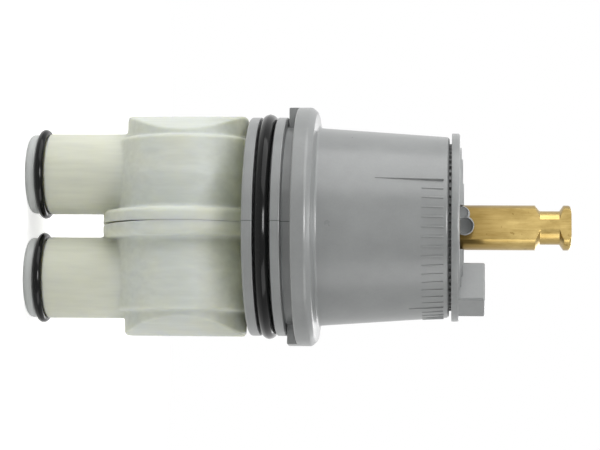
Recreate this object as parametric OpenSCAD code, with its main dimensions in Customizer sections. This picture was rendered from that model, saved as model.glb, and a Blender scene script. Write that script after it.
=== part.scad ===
// Pressure balanced shower valve cartridge, standing on its two inlet tubes with its stem up.
// All lengths are in millimetres. The origin lies on the cartridge's axis, level with the tube ends.
// The hot side is towards -X and the cold side towards +X.

/* [Inlet tubes] */
// Distance between the centres of the two inlet tubes
tube_pitch = 22; // [21:0.5:24]
// Outer diameter of an inlet tube
tube_d = 17.1; // [16:0.1:17.8]
// Thickness of an inlet tube's wall under its seal
tube_wall = 0.9; // [0.8:0.05:1.4]
// Height of the balance chamber's axis above the tube ends
chamber_z = 33.5; // [32:0.5:40]
// Cord of an inlet tube's seal
tube_ring_cord = 1.8; // [1.5:0.1:2.1]
// How far an inlet tube's seal stands out of the tube
tube_ring_proud = 1; // [0.6:0.05:1.2]

/* [Inlet halves] */
// Greatest radius of the drum around the balance chamber
drum_r = 15.3; // [14:0.1:15.6]
// Draft of the drum, from its widest ring to each end
drum_draft = 0.8; // [0.4:0.05:1.2]
// Distance of the drum's widest ring from the seam, where its two mould halves part
drum_parting = 9.9; // [8:0.1:12]
// Half length of the drum
drum_half_l = 18.1; // [17.6:0.1:19]
// Radius of the round wings at the drum's ends
wing_r = 12.9; // [11.5:0.1:13.1]
// Rounding of the wings' outer corners
wing_corner_r = 1; // [0.6:0.1:1.6]
// Radius of the round flange along the seam
seam_flange_r = 17.7; // [16.5:0.1:18.8]
// Thickness of one half's seam flange
seam_flange_t = 2.9; // [2:0.1:3.2]
// Rounding of the seam flange's outer edges
seam_edge_r = 1.2; // [0.4:0.1:1.4]
// How far the seam stands open at the flange's lowest point, on each half
seam_open = 0.26; // [0.1:0.02:0.4]
// Diameter of a locating pin on the seam
seam_pin_d = 3; // [2:0.1:3.6]
// Length of a locating pin on the seam
seam_pin_l = 4; // [3:0.1:6]

/* [Bonnet] */
// Height of the bonnet's lower edge above the balance chamber's axis
skirt_rise = 13.7; // [13.2:0.1:16]
// Diameter of the two lands that enter the valve body
land_d = 46; // [44.6:0.1:47]
// Height of the lower land
lower_land_h = 2.2; // [1.8:0.1:3]
// Height of the upper land
upper_land_h = 2; // [1.6:0.1:3]
// Cord of the bonnet's seal
bonnet_ring_cord = 3; // [2.6:0.1:3.4]
// How far the bonnet's seal stands out of the lands
bonnet_ring_proud = 0.7; // [0.4:0.05:1]
// Thickness of the skirt's wall under the seal
skirt_wall = 1.95; // [1.6:0.05:2.4]
// Depth of the neck under the flange
neck_depth = 2.1; // [1.4:0.1:2.6]
// Height of the neck under the flange
neck_h = 2.2; // [1.6:0.1:3]
// How far the flange stands out past the lands
flange_over = 2.1; // [1.6:0.1:3]
// Height of the flange's straight edge
flange_h = 2.7; // [1.6:0.1:3]
// Height of the flange's rounded and coned shoulder
shoulder_h = 1.8; // [1.6:0.1:3]
// Radius of the flange's rounded edge
shoulder_r = 1.4; // [0.8:0.1:1.6]
// Radius of the hollow where the cap stands on the shoulder
cap_foot_fillet = 0.7; // [0.4:0.1:1.2]
// Width of each of the two locating keys under the flange
key_w = 8; // [5:0.5:10]
// Height of the tapered cap above the shoulder
cap_h = 27.1; // [26:0.1:32]
// Thickness of the cap's wall at its foot
cap_wall = 4; // [3.8:0.1:4.8]
// How much the cap's radius shrinks from foot to top
cap_taper = 1.9; // [1.4:0.1:2.2]

/* [Graduations] */
// Angle between neighbouring graduation ribs
rib_step = 6; // [5:0.5:10]
// Number of graduation ribs on each side of the middle one
ribs_each_side = 15; // [9:1:17]
// Direction of the middle rib, seen from above
rib_middle = -30; // [-90:5:90]
// Length of a short rib
rib_short_l = 3.8; // [2:0.1:5]
// Length of the middle rib
rib_middle_l = 6.4; // [5:0.1:9]
// Length of the first and the last rib
rib_long_l = 13.2; // [10:0.1:16]
// Width of a rib at its foot
rib_w = 1.1; // [0.8:0.05:1.4]

/* [Limit stop] */
// Thickness of the limit stop's plate
plate_t = 1.7; // [1.5:0.1:2.5]
// How far the plate stands out past the cap's top edge
plate_over = 0.8; // [0.4:0.1:1.5]
// Gap between the cap's top and the plate, where the teeth show
tooth_gap = 0.5; // [0.4:0.05:1]
// Number of teeth around the limit stop
tooth_count = 60; // [36:12:72]
// Height of a tooth, measured outwards
tooth_h = 0.7; // [0.5:0.05:0.9]
// Depth to which the toothed ring sits in the bonnet
tooth_engage = 2.9; // [2:0.1:4]
// Width of the stop lug
lug_w = 7.3; // [5:0.1:9]
// Rounding of the stop lug's upper edges
lug_edge_r = 0.7; // [0.3:0.1:1.2]
// Height of the stop lug above the plate
lug_h = 5.2; // [3:0.1:7]
// Length of the stop lug along the plate's radius
lug_l = 8.9; // [6:0.1:10]
// Direction of the stop lug, seen from above
lug_angle = -29; // [-90:1:90]
// Radius of the rounded index nub
nub_r = 2; // [1.6:0.1:2.6]
// Length of the index nub along the plate's radius
nub_l = 3.9; // [3:0.1:5]
// Direction of the index nub, seen from above
nub_angle = -86; // [-120:1:-60]
// Width of the slot that the nub stands in, through the plate's raised face
nub_slot_w = 9.8; // [9.4:0.1:12]

/* [Stem] */
// Diameter of the stem's flatted drive end
stem_d = 9.4; // [8:0.1:10]
// Distance between the two flats
stem_flats = 6.7; // [6:0.1:7.6]
// Direction of the first flat, seen from above
stem_angle = -99; // [-180:1:180]
// Height of the stem's end above the cap's top
stem_out = 25.3; // [20:0.1:32]
// Height of the collar at the stem's end
collar_h = 2.4; // [1.8:0.1:3.5]
// Length of the groove under the collar
neck_groove_l = 4.2; // [3:0.1:5.5]
// Diameter of the groove under the collar
neck_groove_d = 7; // [6.4:0.1:7.6]
// Diameter of the tapped hole in the stem's end
screw_d = 4; // [3:0.1:4.2]
// Depth of the tapped hole in the stem's end
screw_l = 12; // [8:0.5:18]
// Diameter of the stem's journal in the bonnet
journal_d = 12; // [11.4:0.1:12.6]
// Cord of a stem seal
stem_ring_cord = 1.6; // [1.3:0.1:1.8]
// Diameter of the stem's thrust flange
thrust_d = 18; // [16.5:0.5:22]
// Thickness of the stem's thrust flange
thrust_t = 2; // [1.6:0.1:3]
// Thickness of the thrust washer
washer_t = 0.7; // [0.5:0.1:1.2]
// Angle through which the stem turns between its stops
turn_angle = 120; // [60:5:150]

/* [Ceramic discs] */
// Thickness of the fixed ceramic disc
fixed_disc_t = 4; // [3:0.1:5]
// Thickness of the moving ceramic disc
moving_disc_t = 4; // [3.4:0.1:5]
// Thickness of the carrier above the moving disc
carrier_t = 6; // [5:0.1:7]
// Thickness of the port gasket
gasket_t = 1; // [0.8:0.1:1.6]
// Distance of a hot or cold port from the axis
port_x = 5; // [4.8:0.1:5.4]
// Length of a hot or cold port
port_l = 8; // [6:0.1:9]
// Distance of the mixed water port from the axis
mixed_y = 11; // [10.6:0.1:11.4]
// Length of the mixed water port
mixed_l = 11; // [8:0.1:12]
// Width of the mixed water port
mixed_w = 4.8; // [4.4:0.1:5]
// Height of the window behind the drum where the mixed water leaves
window_h = 5.2; // [4.8:0.1:6]

/* [Balance valve] */
// Outer diameter of the balance sleeve
sleeve_d = 14; // [13:0.1:14.6]
// Bore of the balance sleeve
sleeve_bore_d = 9; // [8.4:0.1:9.4]
// Length of the balance sleeve
sleeve_l = 34.4; // [34:0.1:36]
// Cord of a sleeve seal
sleeve_ring_cord = 1.6; // [1.4:0.05:1.65]
// Diameter of a port hole in the sleeve
sleeve_port_d = 2.4; // [1.6:0.1:2.8]
// Width of a water pocket around the sleeve
pocket_w = 3.4; // [3:0.1:3.6]
// Travel of the balance spool to each side
spool_travel = 1.5; // [0.8:0.1:2]
// Diameter of the spool between its lands
spool_waist_d = 5.6; // [4:0.1:6.6]

/* [Check valves] */
// Diameter of the mouth where the water enters
mouth_d = 9.2; // [8.4:0.1:9.6]
// Height of the valve seat above the tube's end
seat_z = 4.5; // [4:0.1:5.5]
// Diameter of the poppet
poppet_d = 10.6; // [10.2:0.1:10.8]
// Thickness of the poppet's seal
poppet_seal_t = 0.8; // [0.6:0.05:1.2]
// Travel of the poppet from shut to open
poppet_travel = 2.5; // [1.5:0.1:2.8]
// Height of the poppet's guide
guide_h = 3; // [2.4:0.1:4]
// Wire of the check valve's spring
spring_wire = 0.6; // [0.4:0.05:0.7]
// Diameter of the check valve's spring, outside
spring_d = 6; // [5:0.1:6.6]
// Turns of the check valve's spring
spring_turns = 4.5; // [3.5:0.5:5]

/* [Fits] */
// Clearance on the radius of a turning or sliding fit
run_fit = 0.06; // [0.03:0.01:0.09]
// Clearance on the radius of parts that are put together and stay
seat_fit = 0.1; // [0.05:0.01:0.15]
// Gap between stacked faces
face_gap = 0.02; // [0.01:0.01:0.04]

/* [Hidden] */
$fn = 96;

// Colours as the photograph shows them
nylon_white = "#DFE0D6";
nylon_blue = "#DCE4E8";
cap_grey = "#969898";
seal_black = "#1E1F20";
brass = "#B9A06A";
ceramic_white = "#EFEDE6";
ceramic_grey = "#C9C9C4";
steel = "#B8BCC0";
acetal_black = "#3A3C3E";
acetal_ivory = "#E9E4D2";

// Overshoot of a cut past the face that it goes through
past = 1;

// Inlet tubes
tube_x = tube_pitch / 2;
tube_r = tube_d / 2;
tube_ring_r = tube_r + tube_ring_proud - tube_ring_cord / 2;
tube_groove_r = tube_ring_r - tube_ring_cord / 2 - 0.05;
tube_groove_w = tube_ring_cord + 0.2;
rim_t = 2.1;
rim_r = tube_r - 0.15;
groove_top_z = rim_t + tube_groove_w;
tube_bore_r = tube_groove_r - tube_wall;

// Check valves; the guide stands off by the poppet's travel and the closed spring
poppet_r = poppet_d / 2;
poppet_back_z = seat_z + poppet_seal_t + 2 * face_gap;
poppet_plate_t = 1.2;
poppet_neck_r = 2.6;
poppet_stem_r = 1.5;
poppet_top_z = poppet_back_z + poppet_plate_t;
spring_r = (spring_d - spring_wire) / 2;
spring_closed = (spring_turns + 1) * spring_wire;
cage_top_z = poppet_top_z + poppet_travel + spring_closed + 0.64;
guide_z = cage_top_z + face_gap;
guide_ledge = 0.5;
shoulder_z = guide_z + guide_h + face_gap;
cage_r = tube_bore_r - seat_fit / 2;
cage_bore_r = cage_r - 0.75;

// Balance chamber and the pockets of water around its sleeve
sleeve_r = sleeve_d / 2;
chamber_r = sleeve_r + seat_fit;
pocket_r = chamber_r + 1.6;
throat_h = 4.8;
sleeve_half_l = sleeve_l / 2;
sleeve_ring_r = chamber_r - 0.03 - sleeve_ring_cord / 2;
sleeve_groove_r = sleeve_ring_r - sleeve_ring_cord / 2 - 0.03;
sleeve_groove_w = sleeve_ring_cord + 0.2;
inner_seal_x = (port_x - pocket_w / 2) / 2;
middle_seal_x = (port_x + tube_x) / 2;
outer_seal_x = (tube_x + pocket_w / 2 + sleeve_half_l) / 2;
seal_places = [inner_seal_x, middle_seal_x, outer_seal_x];
sleeve_bore_r = sleeve_bore_d / 2;
plug_t = 1.5;
spool_half_l = sleeve_half_l - plug_t - spool_travel - 0.1;
spool_r = sleeve_bore_r - run_fit;
outer_land_l = 1.6;

// Bonnet, from its lower edge upwards
bonnet_z = chamber_z + skirt_rise;
land_r = land_d / 2;
envelope_r = land_r + 0.2;
bonnet_ring_r = land_r + bonnet_ring_proud - bonnet_ring_cord / 2;
bonnet_groove_r = bonnet_ring_r - bonnet_ring_cord / 2 - 0.05;
bonnet_groove_w = bonnet_ring_cord + 0.6;
groove_z = bonnet_z + lower_land_h;
upper_land_z = groove_z + bonnet_groove_w;
neck_z = upper_land_z + upper_land_h;
flange_z = neck_z + neck_h;
shoulder_z0 = flange_z + flange_h;
cap_z = shoulder_z0 + shoulder_h;
cap_top_z = cap_z + cap_h;
flange_r = land_r + flange_over;
neck_r = land_r - neck_depth;
socket_r = bonnet_groove_r - skirt_wall;
spigot_r = socket_r - seat_fit;
ledge_w = 1.9;
cap_edge_r = 0.8;
cavity_r = socket_r - ledge_w;
cap_foot_r = cavity_r + cap_wall;
cap_top_r = cap_foot_r - cap_taper;
shoulder_slope = atan((shoulder_h - shoulder_r) / (flange_r - shoulder_r - cap_foot_r));
fillet_x = cap_foot_r + cap_foot_fillet;
fillet_z = shoulder_z0 + (flange_r - shoulder_r - fillet_x) * tan(shoulder_slope)
    + (shoulder_r + cap_foot_fillet) / cos(shoulder_slope);
spigot_h = 7.8;
skirt_gap = 0.05;
spigot_z = bonnet_z + spigot_h;
window_z = bonnet_z - window_h;
snap_z = upper_land_z + 0.9;
snap_h = 0.35;
snap_lead = 0.7;
snap_crest = 0.2;
snap_back = 0.4;

// Stack of discs inside the bonnet, each resting on the one below
fixed_disc_z = spigot_z + gasket_t + face_gap;
moving_disc_z = fixed_disc_z + fixed_disc_t + face_gap;
carrier_z = moving_disc_z + moving_disc_t + face_gap;
thrust_z = carrier_z + carrier_t + face_gap;
washer_z = thrust_z + thrust_t + face_gap;
ceiling_z = washer_z + washer_t + face_gap;
fixed_disc_r = cavity_r - 0.7;
moving_disc_r = fixed_disc_r - 1.3;
carrier_r = moving_disc_r + 0.4;
gasket_r = fixed_disc_r - 0.7;
disc_key_r = fixed_disc_r - 0.5;
disc_key_w = 3;
disc_key_h = fixed_disc_t - 0.5;
port_w = pocket_w;
peg_r = 1.4;
peg_l = 1.8;
peg_ring_r = moving_disc_r - 4;
drive_r = 7.6;
drive_w = 7;
drive_depth = carrier_t - 2;
stop_lug_r = cavity_r - 0.35;
stop_rib_r = stop_lug_r - 1;
stop_lug_angle = 30;
stop_rib_angle = 12;
stop_gap_angle = 1.2;
stop_start = 200;

// Hub, pocket and toothed recess at the cap's top
floor_t = 2.5;
pocket_floor_z = ceiling_z + floor_t;
hub_top_z = cap_top_z - 1.8;
journal_r = journal_d / 2;
hub_bore_r = journal_r + run_fit;
hub_r = hub_bore_r + 3.3;
pocket_wall = 2.9;
cap_pocket_r = cap_top_r - pocket_wall;
pocket_ribs = 6;
pocket_rib_t = 1.6;
recess_wall = 1.2;
recess_r = cap_top_r - recess_wall;
recess_z = cap_top_z - tooth_engage;
tooth_tip_r = recess_r - 0.1;
tooth_root_r = tooth_tip_r - tooth_h;
tooth_step = 360 / tooth_count;
key_tooth_count = 12;
tooth_ring_r = tooth_root_r - 1.4;
key_tip_r = tooth_root_r + 0.15;
key_tip_w = 0.2;
key_foot_w = 1;

// Limit stop
plate_z = cap_top_z + tooth_gap;
plate_r = cap_top_r + plate_over;
plate_top_z = plate_z + plate_t;
plate_steps = [[2.9, 0.3], [5.3, 0.6], [10.4, 0.8]];
face_top_z = plate_top_z + plate_steps[2][1];
plate_edge_r = 0.7;
plate_bevel = 0.35;
step_draft = 0.2;
stem_r = stem_d / 2;
plate_bore_r = stem_r + 0.6;
collar_r = plate_bore_r + 1.8;
lug_outer_r = plate_r - 0.3;
nub_inner_r = plate_bore_r + 0.4;
nub_edge_r = 0.35;

// Stem
stem_top_z = cap_top_z + stem_out;
collar_z = stem_top_z - collar_h;
groove_foot_z = collar_z - neck_groove_l;
neck_groove_r = neck_groove_d / 2;
groove_cone_h = 0.9;
collar_cone_h = 0.8;
stem_end_r = 0.7;
thrust_r = thrust_d / 2;
stem_ring_r = hub_bore_r - 0.03 - stem_ring_cord / 2;
stem_groove_r = stem_ring_r - stem_ring_cord / 2 - 0.03;
stem_groove_w = stem_ring_cord + 0.2;
journal_top_z = hub_top_z - 0.2;
stem_seal_low_z = ceiling_z + (journal_top_z - ceiling_z) / 3;
stem_seal_high_z = ceiling_z + 2 * (journal_top_z - ceiling_z) / 3;

// Points of an arc around a centre, from one angle to another
function arc(x, y, r, a0, a1, n = 6) =
    [for (i = [0:n]) let (a = a0 + (a1 - a0) * i / n) [x + r * cos(a), y + r * sin(a)]];

// Radius of the cap's tapered outside at a height
function cap_r_at(z) = cap_foot_r - cap_taper * (z - cap_z) / cap_h;

// Turned shape from points that give radius and height
module turned(points) {
    rotate_extrude() polygon(points);
}

// Turned shape around the X axis, from points that give radius and distance along X
module turned_on_x(points) {
    rotate([0, 90, 0]) turned(points);
}

// Straight tube
module ring(outer, inner, h) {
    difference() {
        cylinder(r = outer, h = h);
        translate([0, 0, -past]) cylinder(r = inner, h = h + 2 * past);
    }
}

// Round cord closed into a ring
module cord_ring(r, cord) {
    rotate_extrude() translate([r, 0]) circle(d = cord);
}

// Upright slot with round ends, its length along X
module slot_x(l, w, h) {
    for (s = [-1, 1]) translate([s * (l - w) / 2, 0, 0]) cylinder(d = w, h = h);
    translate([-(l - w) / 2, -w / 2, 0]) cube([l - w, w, h]);
}

// Part of a thick ring, between two angles
module ring_sector(inner, outer, h, start, span) {
    rotate([0, 0, start]) rotate_extrude(angle = span) {
        translate([inner, 0]) square([outer - inner, h]);
    }
}

// Places its children at the cold side, or mirrored at the hot side
module on_side(side) {
    mirror([side < 0 ? 1 : 0, 0, 0]) children();
}

// Outside of one inlet half: drum, seam flange and wing in one turning around X
function half_profile() = concat(
    [[0, 0], [seam_flange_r - 0.4, 0], [seam_flange_r, 0.4]],
    arc(seam_flange_r - seam_edge_r, seam_flange_t - seam_edge_r, seam_edge_r, 0, 90),
    arc(drum_r - drum_draft + 0.7, seam_flange_t + 0.6, 0.6, -90, -180),
    [[drum_r, drum_parting]],
    arc(drum_r - drum_draft - 0.5, drum_half_l - 0.5, 0.5, 10, 90),
    [[wing_r, drum_half_l]],
    arc(wing_r - wing_corner_r - 0.1, envelope_r - wing_corner_r + 0.05, wing_corner_r, 0, 70),
    [[0, envelope_r + past]]
);

// Space that one inlet half may fill: below the bonnet, and inside the bonnet's skirt
module half_envelope() {
    difference() {
        union() {
            cylinder(r = envelope_r, h = bonnet_z - skirt_gap);
            translate([0, 0, bonnet_z - past]) cylinder(r = spigot_r, h = spigot_h + past);
            translate([0, 0, snap_z]) snap_bead(0);
        }
        translate([-2 * envelope_r + face_gap, -envelope_r - past, -past])
            cube([2 * envelope_r, 2 * (envelope_r + past), spigot_z + 3 * past]);
    }
}

// Snap bead around the spigot, and with a clearance the groove that it enters
module snap_bead(grow) {
    r = spigot_r + grow;
    top = snap_crest + snap_back + grow;
    foot = -snap_crest - snap_lead - grow;
    turned([
        [r - 2, foot], [r, foot], [r + snap_h, -snap_crest - grow],
        [r + snap_h, snap_crest + grow], [r, top], [r - 2, top]
    ]);
}

// Places of the locating pins around the balance chamber, as distances from its axis
pin_ring_r = (pocket_r + drum_r - drum_draft) / 2;
pin_places = [for (a = [30, 150, 210, 330]) [pin_ring_r * cos(a), pin_ring_r * sin(a)]];

module seam_pins(r, l) {
    for (p = pin_places) {
        translate([0, p[0], chamber_z + p[1]]) rotate([0, 90, 0]) cylinder(r = r, h = l);
    }
}

// Water ways inside one half: tube bore, throat, balance chamber, its pockets and the outlet riser
module half_water_ways() {
    throat_r = tube_bore_r - guide_ledge;
    throat_z = chamber_z - chamber_r - throat_h;
    translate([tube_x, 0, -past]) cylinder(r = tube_bore_r, h = shoulder_z + past);
    translate([tube_x, 0, shoulder_z - past]) cylinder(r = throat_r, h = throat_z - shoulder_z + past);
    intersection() {
        translate([tube_x, 0, throat_z - past]) cylinder(r = throat_r, h = chamber_z - throat_z + past);
        translate([tube_x - pocket_w / 2, -throat_r, 0]) cube([pocket_w, 2 * throat_r, chamber_z]);
    }
    translate([-past, 0, chamber_z]) rotate([0, 90, 0])
        cylinder(r = chamber_r, h = sleeve_half_l + 0.1 + past);
    for (x = [port_x, tube_x]) {
        translate([x - pocket_w / 2, 0, chamber_z]) rotate([0, 90, 0]) cylinder(r = pocket_r, h = pocket_w);
    }
    translate([port_x, 0, chamber_z]) rotate([0, 0, 90])
        slot_x(port_l, port_w, spigot_h + skirt_rise + past);
    translate([0, mixed_y, window_z]) slot_x(mixed_l, mixed_w, spigot_z - window_z + past);
    translate([-mixed_l / 2, mixed_y, window_z]) cube([mixed_l, seam_flange_r, bonnet_z - 0.4 - window_z]);
}

// Opening between the halves, widest at the seam flange's lowest point
module seam_wedge() {
    low_z = chamber_z - seam_flange_r - past;
    translate([0, seam_flange_r + past, 0]) rotate([90, 0, 0]) linear_extrude(2 * (seam_flange_r + past))
        polygon([[-past, low_z], [seam_open + 0.02, low_z], [face_gap, chamber_z - 3],
                 [-past, chamber_z - 3]]);
}

module inlet_half(side) {
    on_side(side) difference() {
        intersection() {
            union() {
                translate([0, 0, chamber_z]) turned_on_x(half_profile());
                translate([tube_x, 0, groove_top_z]) cylinder(r = tube_r, h = chamber_z - groove_top_z);
                translate([tube_x, 0, rim_t + face_gap])
                    cylinder(r = tube_groove_r, h = tube_groove_w + past);
                translate([0, 0, bonnet_z - 0.4]) cylinder(r = spigot_r + past, h = spigot_h + 0.4);
            }
            half_envelope();
        }
        half_water_ways();
        seam_wedge();
        if (side > 0) translate([-past, 0, 0]) seam_pins(seam_pin_d / 2 + seat_fit, seam_pin_l + 0.3 + past);
    }
    if (side < 0) translate([-face_gap - past, 0, 0]) seam_pins(seam_pin_d / 2, seam_pin_l + past);
}

module hot_housing() {
    color(nylon_white) inlet_half(-1);
}

module cold_housing() {
    color(nylon_white) inlet_half(1);
}

module inlet_seal(side) {
    color(seal_black) translate([side * tube_x, 0, rim_t + tube_groove_w / 2])
        cord_ring(tube_ring_r, tube_ring_cord);
}

module hot_inlet_seal() { inlet_seal(-1); }
module cold_inlet_seal() { inlet_seal(1); }

// Cage of a check valve: the rim that closes the tube, and the barrel with the valve seat
module check_cage(side) {
    mouth_r = mouth_d / 2;
    color(nylon_blue) translate([side * tube_x, 0, 0]) turned(concat(
        [[mouth_r, seat_z], [mouth_r, 1.2], [mouth_r + 0.8, 0]],
        arc(rim_r - 1.3, 1.3, 1.3, -90, 0),
        [[rim_r, rim_t], [cage_r, rim_t], [cage_r, cage_top_z], [cage_bore_r, cage_top_z],
         [cage_bore_r, seat_z]]
    ));
}

module hot_check_cage() { check_cage(-1); }
module cold_check_cage() { check_cage(1); }

// Guide of a check valve: a ring with three spokes and a hub that holds the poppet's stem
module check_guide(side) {
    ring_inner = cage_bore_r - 0.3;
    hub = poppet_stem_r + 1.5;
    color(acetal_ivory) translate([side * tube_x, 0, guide_z]) difference() {
        union() {
            ring(cage_r, ring_inner, guide_h);
            cylinder(r = hub, h = guide_h);
            for (a = [0, 120, 240]) {
                rotate([0, 0, a]) translate([hub - 0.5, -0.6, 0])
                    cube([ring_inner - hub + 0.9, 1.2, guide_h]);
            }
        }
        translate([0, 0, -past]) cylinder(r = poppet_stem_r + run_fit, h = guide_h + 2 * past);
    }
}

module hot_check_guide() { check_guide(-1); }
module cold_check_guide() { check_guide(1); }

// Poppet of a check valve: nose, neck that holds the seal, back plate and guide stem
module check_poppet(side) {
    nose_r = mouth_d / 2 - 0.7;
    color(acetal_black) translate([side * tube_x, 0, 0]) turned(concat(
        [[0, seat_z - 2]],
        arc(nose_r - 1.2, seat_z - 0.8, 1.2, -90, 0),
        [[nose_r, seat_z], [poppet_neck_r, seat_z], [poppet_neck_r, poppet_back_z],
         [poppet_r - 0.4, poppet_back_z], [poppet_r, poppet_back_z + 0.4], [poppet_r, poppet_top_z],
         [poppet_stem_r, poppet_top_z], [poppet_stem_r, guide_z + guide_h - 0.5],
         [poppet_stem_r - 0.4, guide_z + guide_h - 0.1], [0, guide_z + guide_h - 0.1]]
    ));
}

module hot_check_poppet() { check_poppet(-1); }
module cold_check_poppet() { check_poppet(1); }

module poppet_seal(side) {
    color(seal_black) translate([side * tube_x, 0, seat_z + face_gap])
        ring(poppet_r - 0.1, poppet_neck_r + 0.05, poppet_seal_t);
}

module hot_poppet_seal() { poppet_seal(-1); }
module cold_poppet_seal() { poppet_seal(1); }

// Height along a coil spring whose end turns lie flat, for a share of its whole length from 0 to 1
function coil_z(t, turns, wire, h) =
    let (dead = 0.8, pitch_dead = wire + 0.04, u = t * turns,
         live = (h - wire - 2 * dead * pitch_dead) / (turns - 2 * dead))
    wire / 2 + (u < dead ? u * pitch_dead
        : u > turns - dead ? h - wire - (turns - u) * pitch_dead
        : dead * pitch_dead + (u - dead) * live);

// Coil spring swept as rings of a few points
module coil_spring(r, wire, h, turns) {
    sides = 8;
    per_turn = 16;
    n = round(turns * per_turn);
    points = [for (i = [0:n]) for (k = [0:sides - 1])
        let (a = 360 * turns * i / n, b = 360 * k / sides,
             reach = r + wire / 2 * cos(b))
        [reach * cos(a), reach * sin(a), coil_z(i / n, turns, wire, h) + wire / 2 * sin(b)]];
    skin = [for (i = [0:n - 1]) for (k = [0:sides - 1])
        let (p = i * sides + k, q = i * sides + (k + 1) % sides)
        each [[p, q + sides, q], [p, p + sides, q + sides]]];
    first = [for (k = [1:sides - 2]) [0, k, k + 1]];
    last = [for (k = [1:sides - 2]) [n * sides, n * sides + k + 1, n * sides + k]];
    polyhedron(points, concat(skin, first, last));
}

module check_spring(side) {
    gap = 0.05;
    color(steel) translate([side * tube_x, 0, poppet_top_z + gap])
        coil_spring(spring_r, spring_wire, guide_z - poppet_top_z - 2 * gap, spring_turns);
}

module hot_check_spring() { check_spring(-1); }
module cold_check_spring() { check_spring(1); }

// Balance sleeve, with a groove for each seal and a ring of holes at each pocket
module balance_sleeve() {
    holes = 3;
    color(steel) translate([0, 0, chamber_z]) rotate([0, 90, 0]) difference() {
        translate([0, 0, -sleeve_half_l]) cylinder(r = sleeve_r, h = sleeve_l);
        translate([0, 0, -sleeve_half_l - past]) cylinder(r = sleeve_bore_r, h = sleeve_l + 2 * past);
        for (s = [-1, 1]) for (x = seal_places) {
            translate([0, 0, s * x - sleeve_groove_w / 2])
                ring(sleeve_r + past, sleeve_groove_r, sleeve_groove_w);
        }
        for (s = [-1, 1]) for (x = [port_x, tube_x]) for (i = [0:holes - 1]) {
            translate([0, 0, s * x]) rotate([0, 90, i * 180 / holes])
                cylinder(d = sleeve_port_d, h = sleeve_d + 2 * past, center = true);
        }
    }
}

module balance_sleeve_seals() {
    color(seal_black) for (s = [-1, 1]) for (x = seal_places) {
        translate([s * x, 0, chamber_z]) rotate([0, 90, 0]) cord_ring(sleeve_ring_r, sleeve_ring_cord);
    }
}

// Two plugs that close the sleeve and stop the spool
module balance_sleeve_plugs() {
    color(steel) for (s = [-1, 1]) {
        translate([s * sleeve_half_l, 0, chamber_z]) rotate([0, -s * 90, 0]) difference() {
            cylinder(r = sleeve_bore_r - face_gap, h = plug_t);
            translate([0, 0, -past]) cylinder(r = 1.5, h = plug_t + 2 * past);
        }
    }
}

// Balance spool: a middle land that chokes one side's outlet while it frees the other's
module balance_spool() {
    middle_land = port_x - sleeve_port_d / 2 + 0.1;
    waist = spool_waist_d / 2;
    outer_land = spool_half_l - outer_land_l;
    bore = waist - 1.1;
    color(steel) translate([0, 0, chamber_z]) turned_on_x([
        [bore, -spool_half_l], [spool_r - 0.3, -spool_half_l], [spool_r, -spool_half_l + 0.3],
        [spool_r, -outer_land], [waist, -outer_land], [waist, -middle_land],
        [spool_r, -middle_land], [spool_r, middle_land], [waist, middle_land],
        [waist, outer_land], [spool_r, outer_land], [spool_r, spool_half_l - 0.3],
        [spool_r - 0.3, spool_half_l], [bore, spool_half_l]
    ]);
}

// Outside of the bonnet, from the skirt's lower edge to the cap's top
function bonnet_profile() = concat(
    [[0, bonnet_z], [land_r - 0.6, bonnet_z], [land_r, bonnet_z + 0.6], [land_r, groove_z],
     [bonnet_groove_r, groove_z], [bonnet_groove_r, upper_land_z], [land_r, upper_land_z],
     [land_r, neck_z - 0.3], [land_r - 0.3, neck_z], [neck_r, neck_z], [neck_r, flange_z],
     [flange_r - 0.3, flange_z], [flange_r, flange_z + 0.3]],
    arc(flange_r - shoulder_r, shoulder_z0, shoulder_r, 0, 90 - shoulder_slope),
    arc(fillet_x, fillet_z, cap_foot_fillet, -90 - shoulder_slope, -176, 5),
    [[cap_r_at(cap_top_z - cap_edge_r - 0.1), cap_top_z - cap_edge_r - 0.1]],
    arc(cap_top_r - cap_edge_r, cap_top_z - cap_edge_r, cap_edge_r, 10, 90),
    [[0, cap_top_z]]
);

// Inside of the bonnet: spigot socket, disc cavity and hub bore
module bonnet_inside() {
    translate([0, 0, bonnet_z - past]) cylinder(r = socket_r, h = spigot_h + skirt_gap + past);
    translate([0, 0, snap_z]) snap_bead(seat_fit + 0.05);
    translate([0, 0, spigot_z - past]) cylinder(r = cavity_r, h = ceiling_z - spigot_z + past);
    translate([0, 0, ceiling_z - past]) cylinder(r = hub_bore_r, h = cap_top_z - ceiling_z + 2 * past);
}

// Pocket around the hub, open at the top under the limit stop
module bonnet_pocket() {
    difference() {
        translate([0, 0, pocket_floor_z]) cylinder(r = cap_pocket_r, h = cap_top_z - pocket_floor_z + past);
        translate([0, 0, pocket_floor_z - past]) cylinder(r = hub_r, h = hub_top_z - pocket_floor_z + past);
        for (i = [0:pocket_ribs - 1]) {
            rotate([0, 0, i * 360 / pocket_ribs])
                translate([hub_r - 1, -pocket_rib_t / 2, pocket_floor_z - past])
                cube([cap_pocket_r - hub_r + 2, pocket_rib_t, recess_z - pocket_floor_z + past - 0.4]);
        }
    }
    translate([0, 0, recess_z]) cylinder(r = recess_r, h = tooth_engage + past);
}

// Raised rib with its crest upright, so that it runs out down the taper
module graduation_rib(angle, l) {
    top_z = cap_top_z - cap_edge_r - 0.3;
    crest_r = cap_r_at(top_z - l);
    foot_r = cap_r_at(top_z) - 0.5;
    wide = rib_w * (crest_r - foot_r) / (crest_r - cap_r_at(top_z) + 0.25) / 2;
    rotate([0, 0, angle]) translate([0, 0, top_z - l - 0.5]) linear_extrude(l + 0.5)
        polygon([[foot_r, -min(wide, rib_w)], [crest_r, -0.08], [crest_r, 0.08], [foot_r, min(wide, rib_w)]]);
}

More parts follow.
